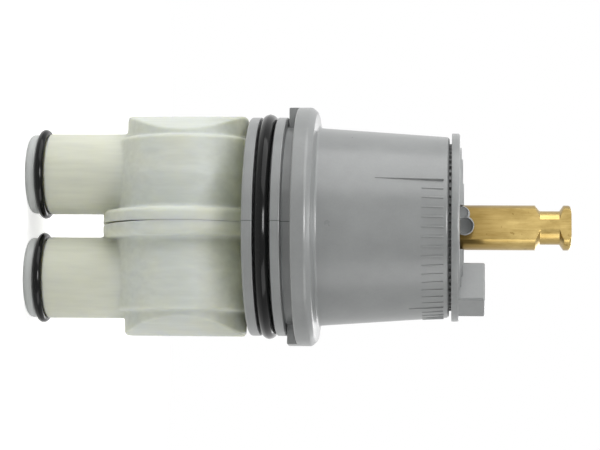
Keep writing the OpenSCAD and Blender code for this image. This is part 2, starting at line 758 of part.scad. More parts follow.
module graduation_ribs() {
    for (i = [-ribs_each_side:ribs_each_side]) {
        l = i == 0 ? rib_middle_l : abs(i) == ribs_each_side ? rib_long_l : rib_short_l;
        graduation_rib(rib_middle + i * rib_step, l);
    }
}

module bonnet() {
    color(cap_grey) difference() {
        union() {
            turned(bonnet_profile());
            graduation_ribs();
            for (a = [0, 180]) rotate([0, 0, a]) intersection() {
                translate([neck_r - past, -key_w / 2, neck_z + 0.2])
                    cube([flange_r - neck_r + past, key_w, neck_h]);
                translate([0, 0, neck_z]) cylinder(r = flange_r, h = neck_h + past);
            }
        }
        difference() {
            bonnet_inside();
            for (a = [0, 180]) rotate([0, 0, a]) {
                translate([disc_key_r, -disc_key_w / 2, spigot_z + 0.3])
                    cube([ledge_w, disc_key_w, disc_key_h + gasket_t]);
            }
            stop_ribs();
        }
        difference() {
            bonnet_pocket();
            for (i = [0:key_tooth_count - 1])
                rotate([0, 0, (i * tooth_count / key_tooth_count + 0.5) * tooth_step]) key_tooth();
        }
    }
}

// Two ribs in the disc cavity that stop the carrier's lug
module stop_ribs() {
    z = carrier_z + 0.5;
    start = stop_start - stop_lug_angle / 2 - stop_gap_angle - stop_rib_angle;
    finish = stop_start + stop_lug_angle / 2 + turn_angle + stop_gap_angle;
    for (a = [start, finish]) {
        translate([0, 0, z])
            ring_sector(stop_rib_r, cavity_r + past, ceiling_z - z + past, a, stop_rib_angle);
    }
}

// Single tooth in the bonnet's recess, which sits between two teeth of the limit stop
module key_tooth() {
    translate([0, 0, recess_z + 0.3]) linear_extrude(tooth_engage - 0.7) polygon([
        [key_tip_r, -key_tip_w / 2], [recess_r + past, -key_foot_w / 2],
        [recess_r + past, key_foot_w / 2], [key_tip_r, key_tip_w / 2]
    ]);
}

module bonnet_seal() {
    color(seal_black) translate([0, 0, groove_z + bonnet_groove_w / 2])
        cord_ring(bonnet_ring_r, bonnet_ring_cord);
}

// The hot, cold and mixed water ports, cut through a disc or a gasket
module port_cuts(h, grow) {
    for (s = [-1, 1]) translate([s * port_x, 0, -past]) rotate([0, 0, 90])
        slot_x(port_l + grow, port_w + grow, h + 2 * past);
    translate([0, mixed_y, -past]) slot_x(mixed_l + grow, mixed_w + grow, h + 2 * past);
}

module port_gasket() {
    color(seal_black) translate([0, 0, spigot_z]) difference() {
        cylinder(r = gasket_r, h = gasket_t);
        port_cuts(gasket_t, 0.4);
    }
}

module fixed_ceramic_disc() {
    color(ceramic_white) translate([0, 0, fixed_disc_z]) difference() {
        cylinder(r = fixed_disc_r, h = fixed_disc_t);
        port_cuts(fixed_disc_t, 0);
        for (a = [0, 180]) rotate([0, 0, a]) {
            translate([disc_key_r - seat_fit, -disc_key_w / 2 - seat_fit, -past])
                cube([ledge_w, disc_key_w + 2 * seat_fit, fixed_disc_t + 2 * past]);
        }
    }
}

// Moving disc, with the recess in its lower face that joins a port to the outlet
module moving_ceramic_disc() {
    recess_t = 1.5;
    arm = 60;
    color(ceramic_grey) translate([0, 0, moving_disc_z]) difference() {
        cylinder(r = moving_disc_r, h = moving_disc_t);
        translate([0, 0, -past])
            ring_sector(mixed_y - mixed_w / 2, moving_disc_r - 0.9, recess_t + past, -150, 300);
        translate([0, 0, -past]) ring_sector(2.2, mixed_y, recess_t + past, 270 - arm / 2, arm);
        for (a = [90, 210, 330]) rotate([0, 0, a]) {
            translate([peg_ring_r, 0, moving_disc_t - peg_l - 0.2])
                cylinder(r = peg_r + seat_fit, h = peg_l + past);
        }
    }
}

// Carrier between the stem and the moving disc, with its pegs, drive slot and stop lug
module disc_carrier() {
    color(acetal_black) translate([0, 0, carrier_z]) {
        difference() {
            union() {
                turned([
                    [0, 0], [carrier_r, 0], [carrier_r, carrier_t - 1.2], [carrier_r - 1.2, carrier_t],
                    [0, carrier_t]
                ]);
                translate([0, 0, 1.4]) ring_sector(carrier_r - 1, stop_lug_r, carrier_t - 2.8,
                    stop_start - stop_lug_angle / 2, stop_lug_angle);
            }
            translate([0, 0, carrier_t - drive_depth]) rotate([0, 0, stem_angle]) intersection() {
                cylinder(r = drive_r + seat_fit, h = drive_depth + past);
                translate([-drive_w / 2 - seat_fit, -drive_r - past, 0])
                    cube([drive_w + 2 * seat_fit, 2 * (drive_r + past), drive_depth + past]);
            }
        }
        for (a = [90, 210, 330]) rotate([0, 0, a]) {
            translate([peg_ring_r, 0, -peg_l]) cylinder(r = peg_r, h = peg_l + past);
        }
    }
}

// Turned blank of the stem, from its thrust flange to the collar at its end
function stem_profile() = concat(
    [[0, thrust_z], [thrust_r, thrust_z], [thrust_r, thrust_z + thrust_t], [journal_r, thrust_z + thrust_t],
     [journal_r, journal_top_z - 0.5], [journal_r - 0.5, journal_top_z], [stem_r, journal_top_z],
     [stem_r, groove_foot_z - groove_cone_h], [neck_groove_r + 0.3, groove_foot_z],
     [neck_groove_r, groove_foot_z + 0.3], [neck_groove_r, collar_z], [stem_r, collar_z + collar_cone_h]],
    arc(stem_r - stem_end_r, stem_top_z - stem_end_r, stem_end_r, 0, 90, 4),
    [[0, stem_top_z]]
);

module stem() {
    color(brass) difference() {
        union() {
            turned(stem_profile());
            translate([0, 0, thrust_z - drive_depth + 0.2]) rotate([0, 0, stem_angle]) intersection() {
                cylinder(r = drive_r, h = drive_depth + past);
                translate([-drive_w / 2, -drive_r - past, 0])
                    cube([drive_w, 2 * (drive_r + past), drive_depth + past]);
            }
        }
        for (z = [stem_seal_low_z, stem_seal_high_z]) {
            translate([0, 0, z - stem_groove_w / 2]) ring(journal_r + past, stem_groove_r, stem_groove_w);
        }
        for (a = [0, 180]) rotate([0, 0, stem_angle + a]) {
            translate([stem_flats / 2, -stem_r - past, journal_top_z])
                cube([stem_r, 2 * (stem_r + past), stem_top_z - journal_top_z + past]);
        }
        translate([0, 0, stem_top_z - screw_l]) cylinder(d = screw_d, h = screw_l + past);
    }
}

module stem_seals() {
    color(seal_black) for (z = [stem_seal_low_z, stem_seal_high_z]) {
        translate([0, 0, z]) cord_ring(stem_ring_r, stem_ring_cord);
    }
}

module thrust_washer() {
    color(acetal_ivory) translate([0, 0, washer_z]) ring(thrust_r - 0.2, journal_r + 0.3, washer_t);
}

// Outline of the toothed ring, four points to a tooth
function tooth_outline() = [for (i = [0:tooth_count - 1]) each [
    for (p = [[-0.34, tooth_root_r], [-0.14, tooth_tip_r], [0.14, tooth_tip_r], [0.34, tooth_root_r]])
        let (a = (i + p[0]) * tooth_step) [p[1] * cos(a), p[1] * sin(a)]
]];

// Outline of a rectangle with round corners, standing from x0 to x1 and centred on Y
function round_box(x0, x1, w, r) = concat(
    arc(x1 - r, w / 2 - r, r, 0, 90, 4), arc(x0 + r, w / 2 - r, r, 90, 180, 4),
    arc(x0 + r, r - w / 2, r, 180, 270, 4), arc(x1 - r, r - w / 2, r, 270, 360, 4)
);

// Outline of an upright plate whose two upper corners are round
function arched_box(x0, x1, h, r) = concat(
    [[x0, 0], [x1, 0]], arc(x1 - r, h - r, r, 0, 90, 5), arc(x0 + r, h - r, r, 90, 180, 5)
);

// Stop lug: one round-cornered block, rounded along its upper edges both ways
module stop_lug() {
    lug_foot_z = plate_z + plate_t / 3;
    tall = plate_top_z + lug_h - lug_foot_z;
    lug_inner_r = lug_outer_r - lug_l;
    rotate([0, 0, lug_angle]) translate([0, 0, lug_foot_z]) intersection() {
        linear_extrude(tall) polygon(round_box(lug_inner_r, lug_outer_r, lug_w, 0.5));
        translate([0, lug_w, 0]) rotate([90, 0, 0]) linear_extrude(2 * lug_w)
            polygon(arched_box(lug_inner_r - 0.01, lug_outer_r + 0.01, tall, lug_edge_r));
        translate([lug_inner_r - past, 0, 0]) rotate([90, 0, 90]) linear_extrude(lug_l + 2 * past)
            polygon(arched_box(-lug_w / 2 - 0.01, lug_w / 2 + 0.01, tall, lug_edge_r));
    }
}

// Plate with a round upper edge, and a face that rises in three steps
function plate_profile() = concat(
    [[0, plate_z], [plate_r - plate_bevel, plate_z], [plate_r, plate_z + plate_bevel]],
    arc(plate_r - plate_edge_r, plate_top_z - plate_edge_r, plate_edge_r, 0, 90, 5),
    [for (i = [0:2]) each [
        [plate_r - plate_steps[i][0], i == 0 ? plate_top_z : plate_top_z + plate_steps[i - 1][1]],
        [plate_r - plate_steps[i][0] - step_draft, plate_top_z + plate_steps[i][1]]
    ]],
    [[0, face_top_z]]
);

module limit_stop() {
    color(cap_grey) difference() {
        union() {
            difference() {
                turned(plate_profile());
                rotate([0, 0, nub_angle]) translate([0, -nub_slot_w / 2, plate_top_z])
                    cube([plate_r, nub_slot_w, lug_h]);
            }
            toothed_ring();
            translate([0, 0, hub_top_z + 0.4]) cylinder(r = collar_r, h = plate_z - hub_top_z);
            stop_lug();
            index_nub();
        }
        translate([0, 0, hub_top_z]) cylinder(r = plate_bore_r, h = lug_h + plate_z - hub_top_z + 2 * past);
    }
}

module toothed_ring() {
    translate([0, 0, recess_z + 0.05]) difference() {
        linear_extrude(plate_z + 0.3 - recess_z) polygon(tooth_outline());
        translate([0, 0, -past]) cylinder(r = tooth_ring_r, h = tooth_engage + tooth_gap + past - 0.05);
    }
}

// One lobe of the nub, with a round rim at its outer end
module nub_lobe(r) {
    turned_on_x(concat(
        [[0, 0], [r, 0]],
        arc(r - nub_edge_r, nub_l - nub_edge_r, nub_edge_r, 0, 90, 4),
        [[0, nub_l]]
    ));
}

// Rounded nub with two lobes, the lower one beside the taller one
module index_nub() {
    rotate([0, 0, nub_angle]) intersection() {
        union() {
            translate([nub_inner_r, 0, plate_top_z + nub_r / 2]) nub_lobe(nub_r);
            translate([nub_inner_r, -nub_r * 1.17, plate_top_z + nub_r / 5]) nub_lobe(nub_r * 0.85);
        }
        translate([0, -2 * nub_r - past, plate_z + 0.6])
            cube([nub_inner_r + nub_l + past, 4 * nub_r + 2 * past, 4 * nub_r]);
    }
}

hot_housing();
cold_housing();
hot_inlet_seal();
cold_inlet_seal();
hot_check_cage();
cold_check_cage();
hot_check_guide();
cold_check_guide();
hot_check_poppet();
cold_check_poppet();
hot_poppet_seal();
cold_poppet_seal();
hot_check_spring();
cold_check_spring();
balance_sleeve();
balance_sleeve_seals();
balance_sleeve_plugs();
balance_spool();
bonnet();
bonnet_seal();
port_gasket();
fixed_ceramic_disc();
moving_ceramic_disc();
disc_carrier();
stem();
stem_seals();
thrust_washer();
limit_stop();
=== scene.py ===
import math
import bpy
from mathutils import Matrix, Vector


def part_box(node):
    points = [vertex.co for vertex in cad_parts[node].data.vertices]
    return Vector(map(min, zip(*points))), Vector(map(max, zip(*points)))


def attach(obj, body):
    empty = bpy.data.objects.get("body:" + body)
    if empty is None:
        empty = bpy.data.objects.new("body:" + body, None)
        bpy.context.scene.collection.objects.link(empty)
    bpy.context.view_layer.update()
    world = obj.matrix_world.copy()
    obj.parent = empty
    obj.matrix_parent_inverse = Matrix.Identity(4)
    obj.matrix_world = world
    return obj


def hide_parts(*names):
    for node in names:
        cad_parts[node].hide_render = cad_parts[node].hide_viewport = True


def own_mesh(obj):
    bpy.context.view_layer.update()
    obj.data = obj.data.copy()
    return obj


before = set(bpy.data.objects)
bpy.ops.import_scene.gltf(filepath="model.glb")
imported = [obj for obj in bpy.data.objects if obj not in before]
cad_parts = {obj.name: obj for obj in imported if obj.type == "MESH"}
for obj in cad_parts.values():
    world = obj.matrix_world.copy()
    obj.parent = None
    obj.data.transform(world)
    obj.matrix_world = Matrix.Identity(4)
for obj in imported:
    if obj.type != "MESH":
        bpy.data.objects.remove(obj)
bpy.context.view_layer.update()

from types import SimpleNamespace

import bpy
from bpy.props import FloatProperty, FloatVectorProperty, IntProperty, PointerProperty
from bpy.types import Operator, Panel, PropertyGroup
from mathutils import Vector

bl_info = {
    "name": "Shower Valve Cartridge",
    "version": (1, 0, 0),
    "blender": (4, 5, 0),
    "location": "View3D > Sidebar > Cartridge",
    "description": "Models a pressure balanced shower valve cartridge on its CAD frame, with its stage",
    "category": "Add Mesh",
}

MM = 0.001
FULL_TURN = 2 * math.pi
# Distance under which two vertices are one
MERGE = 0.0005 * MM
# Share of a direction above which an edge or a face counts as lying along it
ALONG = 0.9
# Millimetres that a cutter, or a blank that is cut later, runs past the cut
PAST = 1.0
BLACK_ACETAL = "#303234"

BONNET_LOW, BONNET_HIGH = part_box("bonnet")
STEM_LOW, STEM_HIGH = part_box("stem")
RING_LOW, RING_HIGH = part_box("cold_inlet_seal")
BIG_RING_LOW, BIG_RING_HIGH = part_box("bonnet_seal")
POPPET_LOW, POPPET_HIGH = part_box("cold_check_poppet")
CAGE_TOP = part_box("cold_check_cage")[1].z / MM
STOP_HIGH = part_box("limit_stop")[1]


def linear(code):
    """Linear red, green, blue and alpha of an sRGB hex colour."""
    parts = [int(code[i:i + 2], 16) / 255 for i in (1, 3, 5)]
    return tuple(c / 12.92 if c <= 0.04045 else ((c + 0.055) / 1.055) ** 2.4 for c in parts) + (1.0,)


def length(title, text, value):
    """Length property whose default is given in millimetres."""
    return FloatProperty(name=title, description=text, default=value * MM, min=0.0, unit="LENGTH",
                         subtype="DISTANCE", precision=5)


def colour(title, text, code):
    """Colour property whose default is an sRGB hex value."""
    return FloatVectorProperty(name=title, description=text, default=linear(code)[:3], size=3, min=0.0,
                               max=1.0, subtype="COLOR")


class CartridgeSizes(PropertyGroup):
    """Lengths of the cartridge's outside, which follow the CAD frame"""

    chamber_z: length("Chamber height", "Height of the balance chamber's axis above the tube ends", 33.5)
    drum_r: length("Drum radius", "Greatest radius of the drum around the balance chamber", 15.3)
    drum_end: length("Drum half length", "Distance of the drum's end from the seam", 18.1)
    parting: length("Drum parting", "Distance of the drum's widest ring from the seam", 9.9)
    wing_r: length("Wing radius", "Radius of the round wing at the drum's end", 12.9)
    seam_r: length("Seam flange radius", "Radius of the round flange along the seam", 17.7)
    seam_t: length("Seam flange thickness", "Thickness of one half's seam flange", 2.9)
    envelope_r: length("Envelope radius", "Radius that the wings reach from the axis",
                       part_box("cold_housing")[1].x / MM)
    tube_x: length("Tube distance", "Distance of an inlet tube's centre from the axis",
                   (RING_LOW.x + RING_HIGH.x) / 2 / MM)
    tube_r: length("Tube radius", "Outer radius of an inlet tube", 8.55)
    rim_z: length("Rim height", "Height of the cage rim that closes a tube's end", 2.1)
    land_r: length("Land radius", "Radius of the bonnet's two lands", 23.0)
    flange_r: length("Flange radius", "Radius of the bonnet's flange", BONNET_HIGH.x / MM)
    neck_r: length("Neck radius", "Radius of the neck under the flange", 20.9)
    groove_r: length("Groove radius", "Radius of the floor of the bonnet's seal groove", 20.65)
    foot_r: length("Cap foot radius", "Radius of the tapered cap at its foot", 20.8)
    top_r: length("Cap top radius", "Radius of the tapered cap at its top", 18.9)
    skirt_z: length("Skirt height", "Height of the bonnet's lower edge", BONNET_LOW.z / MM)
    flange_z: length("Flange height", "Height of the flange's lower face", 57.2)
    cap_z: length("Cap foot height", "Height at which the tapered cap starts", 61.7)
    cap_top: length("Cap top height", "Height of the cap's upper edge", BONNET_HIGH.z / MM)
    plate_r: length("Plate radius", "Radius of the limit stop's plate", STOP_HIGH.x / MM)
    plate_z: length("Plate height", "Height of the plate's lower face", 89.3)
    stem_r: length("Stem radius", "Radius of the stem's drive end", 4.7)
    stem_flat: length("Stem half flat", "Distance of each flat from the stem's axis", 3.35)
    stem_top: length("Stem top height", "Height of the stem's end", STEM_HIGH.z / MM)


class CartridgeCounts(PropertyGroup):
    """Numbers and directions of what repeats"""

    ribs: IntProperty(name="Ribs each side", description="Graduation ribs on each side of the middle one",
                      default=15)
    rib_step: FloatProperty(name="Rib step", description="Angle between neighbouring graduation ribs",
                            default=math.radians(6), subtype="ANGLE")
    rib_middle: FloatProperty(name="Middle rib", description="Direction of the middle graduation rib",
                              default=math.radians(-26), subtype="ANGLE")
    teeth: IntProperty(name="Teeth", description="Teeth around the limit stop", default=60)
    lug_turn: FloatProperty(name="Lug direction", description="Direction of the limit stop's lug",
                            default=math.radians(-27), subtype="ANGLE")
    nub_turn: FloatProperty(name="Nub direction", description="Direction of the limit stop's rounded nub",
                            default=math.radians(-86), subtype="ANGLE")
    stem_turn: FloatProperty(name="Flat direction", description="Direction of the stem's first flat at rest",
                             default=math.radians(-99), subtype="ANGLE")


class CartridgeColours(PropertyGroup):
    """Colours of the cartridge's visible materials"""

    nylon_tube: colour("Nylon, tubes", "Colour of the white halves along the inlet tubes", "#D5D7C8")
    nylon_drum: colour("Nylon, drums", "Colour of the white halves around the balance chamber", "#CFD4CE")
    # Painted shade: darker olive of the white halves next to the bonnet, standing in for the bonnet's shadow
    nylon_painted_shade: colour("Nylon, shaded end", "Colour of the white halves where the bonnet backs them",
                       "#B2B6A6")
    cage_blue: colour("Cage", "Colour of the check valves' bluish rims", "#CACDCC")
    plastic_grey: colour("Grey plastic", "Colour of the bonnet and the limit stop", "#8D8F8F")
    rubber_black: colour("Rubber", "Colour of the seals", "#0A0B0B")
    brass_light: colour("Brass, light", "Lighter colour of the turned brass", "#B9A269")
    brass_dark: colour("Brass, dark", "Darker colour of the turned brass", "#98804A")


def in_mm(group):
    """The group's lengths as plain numbers in millimetres."""
    return SimpleNamespace(**{key: getattr(group, key) / MM for key in group.__annotations__})


# Modelling

def only(obj):
    """Leaves obj as the one selected and active object, in object mode."""
    if bpy.context.object and bpy.context.object.mode != "OBJECT":
        bpy.ops.object.mode_set(mode="OBJECT")
    bpy.ops.object.select_all(action="DESELECT")
    obj.select_set(True)
    bpy.context.view_layer.objects.active = obj


def to_space(axis, centre, r, along):
    """Point at a radius from an axis and a distance along it, in metres."""
    x, y, z = centre
    return Vector((x + along, y, z + r)) * MM if axis == "X" else Vector((x + r, y, z + along)) * MM


def rounded(corners, facets=5, closed=False):
    """Outline through corners of radius, height and rounding, with an arc at each rounded corner."""
    points = []
    last = len(corners) - 1
    # Most of a side that one arc takes, so that two arcs on it never meet
    most = 0.48
    for i, (x, y, r) in enumerate(corners):
        here = Vector((x, y))
        if not r or (not closed and i in (0, last)):
            points.append((x, y))
            continue
        before = Vector(corners[i - 1][:2]) - here
        after = Vector(corners[(i + 1) % len(corners)][:2]) - here
        half = before.angle(after) / 2
        reach = min(r / math.tan(half), most * before.length, most * after.length)
        r = reach * math.tan(half)
        start = before.normalized() * reach
        end = after.normalized() * reach
        middle = (start + end).normalized() * (r / math.sin(half))
        a0 = math.atan2(*(start - middle).yx)
        turn = (math.atan2(*(end - middle).yx) - a0 + math.pi) % FULL_TURN - math.pi
        for k in range(facets + 1):
            a = a0 + turn * k / facets
            points.append((x + middle.x + r * math.cos(a), y + middle.y + r * math.sin(a)))
    if closed:
        points.append(points[0])
    return points


def edit_all(obj):
    """Enters edit mode on obj with all of its mesh selected."""
    only(obj)
    bpy.ops.object.mode_set(mode="EDIT")
    bpy.ops.mesh.select_all(action="SELECT")


def merge_all():
    """Selects all of the mesh in edit mode and merges its doubled vertices."""
    bpy.ops.mesh.select_all(action="SELECT")
    bpy.ops.mesh.remove_doubles(threshold=MERGE)


def apply_place():
    """Writes the selected object's place, turn and scale into its mesh."""
    bpy.ops.object.transform_apply(location=True, rotation=True, scale=True)


def turned(name, outline, steps, axis="Z", centre=(0, 0, 0)):
    """Solid spun from an outline of radii and heights in millimetres, in steps around the axis."""
    bpy.ops.mesh.primitive_plane_add(size=MM, location=(0, 0, 0))
    obj = bpy.context.object
    obj.name = obj.data.name = name
    bpy.ops.object.mode_set(mode="EDIT")
    bpy.ops.mesh.select_mode(type="VERT")
    bpy.ops.mesh.select_all(action="SELECT")
    bpy.ops.mesh.merge(type="CENTER")
    points = [to_space(axis, centre, r, along) for r, along in outline]
    bpy.ops.transform.translate(value=points[0])
    for a, b in zip(points, points[1:]):
        bpy.ops.mesh.extrude_region_move(TRANSFORM_OT_translate={"value": b - a})
    merge_all()
    direction = (1, 0, 0) if axis == "X" else (0, 0, 1)
    bpy.ops.mesh.spin(steps=steps, angle=FULL_TURN, center=Vector(centre) * MM, axis=direction)
    merge_all()
    bpy.ops.mesh.normals_make_consistent(inside=False)
    bpy.ops.object.mode_set(mode="OBJECT")
    return obj


def block(name, low, high):
    """Cube primitive between two corners in millimetres."""
    low, high = Vector(low) * MM, Vector(high) * MM
    bpy.ops.mesh.primitive_cube_add(size=1, location=(low + high) / 2)
    obj = bpy.context.object
    obj.name = obj.data.name = name
    obj.scale = high - low
    apply_place()
    return obj


def pick(obj, kind, test):
    """Enters edit mode on obj with what passes a test selected: vertices by place, edges by middle and
    direction, faces by centre and normal, in millimetres."""
    only(obj)
    mesh = obj.data
    for group in (mesh.vertices, mesh.edges, mesh.polygons):
        group.foreach_set("select", [False] * len(group))
    corner = [v.co / MM for v in mesh.vertices]
    if kind == "VERT":
        for v in mesh.vertices:
            v.select = test(corner[v.index])
    elif kind == "EDGE":
        for e in mesh.edges:
            a, b = (corner[i] for i in e.vertices)
            e.select = test((a + b) / 2, (b - a).normalized())
    else:
        for p in mesh.polygons:
            p.select = test(p.center / MM, p.normal)
    bpy.ops.object.mode_set(mode="EDIT")
    bpy.ops.mesh.select_mode(type=kind)


def bevel_edges(obj, test, width, segments):
    """Rounds the edges of obj that pass a test, by a width in millimetres."""
    pick(obj, "EDGE", test)
    bpy.ops.mesh.bevel(offset=width * MM, segments=segments)
    bpy.ops.object.mode_set(mode="OBJECT")


def narrow(obj, test, share, centre):
    """Narrows the faces of obj that pass a test to a share of their width along Y, about a centre."""
    pick(obj, "FACE", test)
    bpy.ops.transform.resize(value=(1, share, 1), center_override=tuple(c * MM for c in centre))
    bpy.ops.object.mode_set(mode="OBJECT")


def shift(obj, test, move):
    """Moves the vertices of obj that pass a test, in millimetres."""
    pick(obj, "VERT", test)
    bpy.ops.transform.translate(value=tuple(m * MM for m in move))
    bpy.ops.object.mode_set(mode="OBJECT")


def cut(obj, *planes):
    """Cuts obj at planes, each a point in millimetres and the direction of what goes, and closes the cuts."""
    slack = 0.00001 * MM
    only(obj)
    bpy.ops.object.mode_set(mode="EDIT")
    for point, way in planes:
        bpy.ops.mesh.select_all(action="SELECT")
        bpy.ops.mesh.bisect(plane_co=Vector(point) * MM, plane_no=way, use_fill=True, clear_outer=True,
                            threshold=slack)
    bpy.ops.object.mode_set(mode="OBJECT")
    return obj


def soften(obj, voxel, rounds):
    """Remeshes a closed obj in voxels of a size in millimetres and smooths it, which rounds its edges."""
    only(obj)
    obj.scale = (1 / MM, 1 / MM, 1 / MM)
    apply_place()
    apply_modifier(obj, "REMESH", mode="VOXEL", voxel_size=voxel)
    apply_modifier(obj, "SMOOTH", factor=0.5, iterations=rounds)
    obj.scale = (MM, MM, MM)
    apply_place()
    return obj


def apply_modifier(obj, kind, **settings):
    """Adds one modifier to obj with its settings and applies it."""
    only(obj)
    modifier = obj.modifiers.new(kind.lower(), kind)
    for key, value in settings.items():
        setattr(modifier, key, value)
    bpy.ops.object.modifier_apply(modifier=modifier.name)
    return obj


def combine(obj, tool, operation):
    """Boolean of obj with a tool, which is used up."""
    apply_modifier(obj, "BOOLEAN", operation=operation, solver="EXACT", object=tool)
    mesh = tool.data
    bpy.data.objects.remove(tool)
    bpy.data.meshes.remove(mesh)
    return obj


def join(obj, *others):
    """Joins other objects into obj."""
    only(obj)
    for other in others:
        other.select_set(True)
    bpy.ops.object.join()
    return obj


def copy_of(obj, name):
    """Copy of obj with its own mesh."""
    only(obj)
    bpy.ops.object.duplicate(linked=False)
    copy = bpy.context.object
    copy.name = copy.data.name = name
    return copy


def hot_copy(obj, name, tube_x):
    """Copy of a cold inlet's piece at the hot inlet, on the other side of the axis."""
    copy = copy_of(obj, name)
    copy.location.x = -2 * tube_x * MM
    return copy


def repeat(obj, count, step):
    """Copies all of obj around the Z axis until there are count, a step apart, anticlockwise from above."""
    edit_all(obj)
    bpy.ops.mesh.spin(steps=count - 1, angle=step * (count - 1), dupli=True, center=(0, 0, 0),
                      axis=(0, 0, -1))
    bpy.ops.object.mode_set(mode="OBJECT")
    return obj


def turn_about(obj, angle):
    """Turns obj's mesh about the Z axis, anticlockwise from above."""
    only(obj)
    obj.rotation_euler = (0, 0, angle)
    apply_place()
    return obj


def finish(obj, body, slot, material, *nodes, angle=32, even=True):
    """Shades a finished piece, evenly over its broad faces where asked, and hands it to its body in the place
    of its CAD nodes."""
    only(obj)
    apply_place()
    bpy.ops.object.shade_smooth_by_angle(angle=math.radians(angle))
    if even:
        apply_modifier(obj, "WEIGHTED_NORMAL", keep_sharp=True)
    obj.data.materials.clear()
    obj.data.materials.append(material)
    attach(obj, body)
    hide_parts(*nodes)
    return obj


# Materials

def add_node(tree, kind, values=None, links=None, **settings):
    """Adds one shader node, sets its properties and input values, and links sockets into its inputs."""
    node = tree.nodes.new("ShaderNode" + kind)
    for key, value in settings.items():
        setattr(node, key, value)
    for key, value in (values or {}).items():
        node.inputs[key].default_value = value
    for key, socket in (links or {}).items():
        tree.links.new(socket, node.inputs[key])
    return node


def shaded(tone, share=1.0):
    """The colour times a share, no channel past white, with its alpha."""
    return (*(min(1.0, share * c) for c in tone[:3]), 1.0)


def start_material(name, shader):
    """New material with its Principled shader, output and object coordinates."""
    material = bpy.data.materials.new(name)
    material.use_nodes = True
    tree = material.node_tree
    tree.nodes.clear()
    surface = add_node(tree, "BsdfPrincipled", shader)
    add_node(tree, "OutputMaterial", None, {"Surface": surface.outputs["BSDF"]})
    place = add_node(tree, "TexCoord").outputs["Object"]
    return material, tree, surface, place


def close_material(tree, surface, base, pattern, dull, bump=None):
    """Links a material's colour, its roughness between two values by a pattern, and its bump."""
    gloss = add_node(tree, "MapRange", {"To Min": dull[0], "To Max": dull[1]}, {"Value": pattern})
    tree.links.new(base, surface.inputs["Base Color"])
    tree.links.new(gloss.outputs["Result"], surface.inputs["Roughness"])
    if bump:
        tree.links.new(bump.outputs["Normal"], surface.inputs["Normal"])


def moulded_nylon_white(name):
    """Injection moulded natural nylon 6: a cream white that light enters by a millimetre or two, with painted
    shade that turns it olive towards the bonnet in place of the bonnet's shadow, a satin skin from the spark
    eroded mould, cloudy flow of 9 mm, and fine streaks along the flow."""
    tint = bpy.context.scene.cartridge_colours
    size = in_mm(bpy.context.scene.cartridge_sizes)
    cloud_size, streak_size, grain_size = 9.0, 1.2, 0.5
    material, tree, surface, place = start_material(name, {
        "IOR": 1.53, "Specular IOR Level": 0.45, "Subsurface Weight": 0.55, "Subsurface Scale": 2.5 * MM,
        "Subsurface Radius": (1.0, 0.95, 0.5)})
    split = add_node(tree, "SeparateXYZ", None, {"Vector": place})
    cloud = add_node(tree, "TexNoise", {"Scale": 1 / (cloud_size * MM), "Detail": 3.0, "Roughness": 0.55},
                     {"Vector": place})
    # Colours by height, their borders moved up and down by the cloud
    drift = add_node(tree, "Math", {1: cloud_size * MM, 2: -0.5 * cloud_size * MM},
                     {0: cloud.outputs["Fac"]}, operation="MULTIPLY_ADD")
    height = add_node(tree, "Math", None, {0: split.outputs["Z"], 1: drift.outputs["Value"]}, operation="ADD")
    share = add_node(tree, "MapRange", {"From Min": 0.0, "From Max": size.skirt_z * MM},
                     {"Value": height.outputs["Value"]})
    ramp = add_node(tree, "ValToRGB", None, {"Fac": share.outputs["Result"]})
    stops = ramp.color_ramp.elements
    # The last stop is painted shade: the halves turn olive towards the bonnet, in place of its shadow
    for at, tone in ((0.34, tint.nylon_tube), (0.5, tint.nylon_drum), (0.78, tint.nylon_drum),
                     (0.97, tint.nylon_painted_shade)):
        stop = stops.new(at)
        stop.color = shaded(tone)
    stops.remove(stops[0])
    stops.remove(stops[-1])
    # Flow streaks along the axis, a few shades apart
    squeeze = add_node(tree, "Mapping", {"Scale": (1.0, 1.0, 0.12)}, {"Vector": place})
    streak = add_node(tree, "TexNoise", {"Scale": 1 / (streak_size * MM), "Detail": 2.0},
                      {"Vector": squeeze.outputs["Vector"]})
    tone = add_node(tree, "MapRange", {"From Min": 0.3, "From Max": 0.7, "To Min": 0.95, "To Max": 1.04},
                    {"Value": streak.outputs["Fac"]})
    # Cream patches where the flow folded, as large as the cloud
    patch = add_node(tree, "MapRange", {"From Min": 0.42, "From Max": 0.62, "To Max": 0.55},
                     {"Value": cloud.outputs["Fac"]})
    patched = add_node(tree, "Mix", {7: shaded(tint.nylon_tube)},
                       {0: patch.outputs["Result"], 6: ramp.outputs["Color"]}, data_type="RGBA")
    base = add_node(tree, "Mix", {0: 1.0}, {6: patched.outputs[2], 7: tone.outputs["Result"]},
                    data_type="RGBA", blend_type="MULTIPLY")
    # The spark eroded skin, drawn coarser than its tenth of a millimetre so that it shows
    grain = add_node(tree, "TexNoise", {"Scale": 1 / (grain_size * MM), "Detail": 2.0}, {"Vector": place})
    skin = add_node(tree, "Bump", {"Strength": 0.25, "Distance": 0.02 * MM}, {"Height": grain.outputs["Fac"]})
    close_material(tree, surface, base.outputs[2], cloud.outputs["Fac"], (0.46, 0.6), skin)
    return material


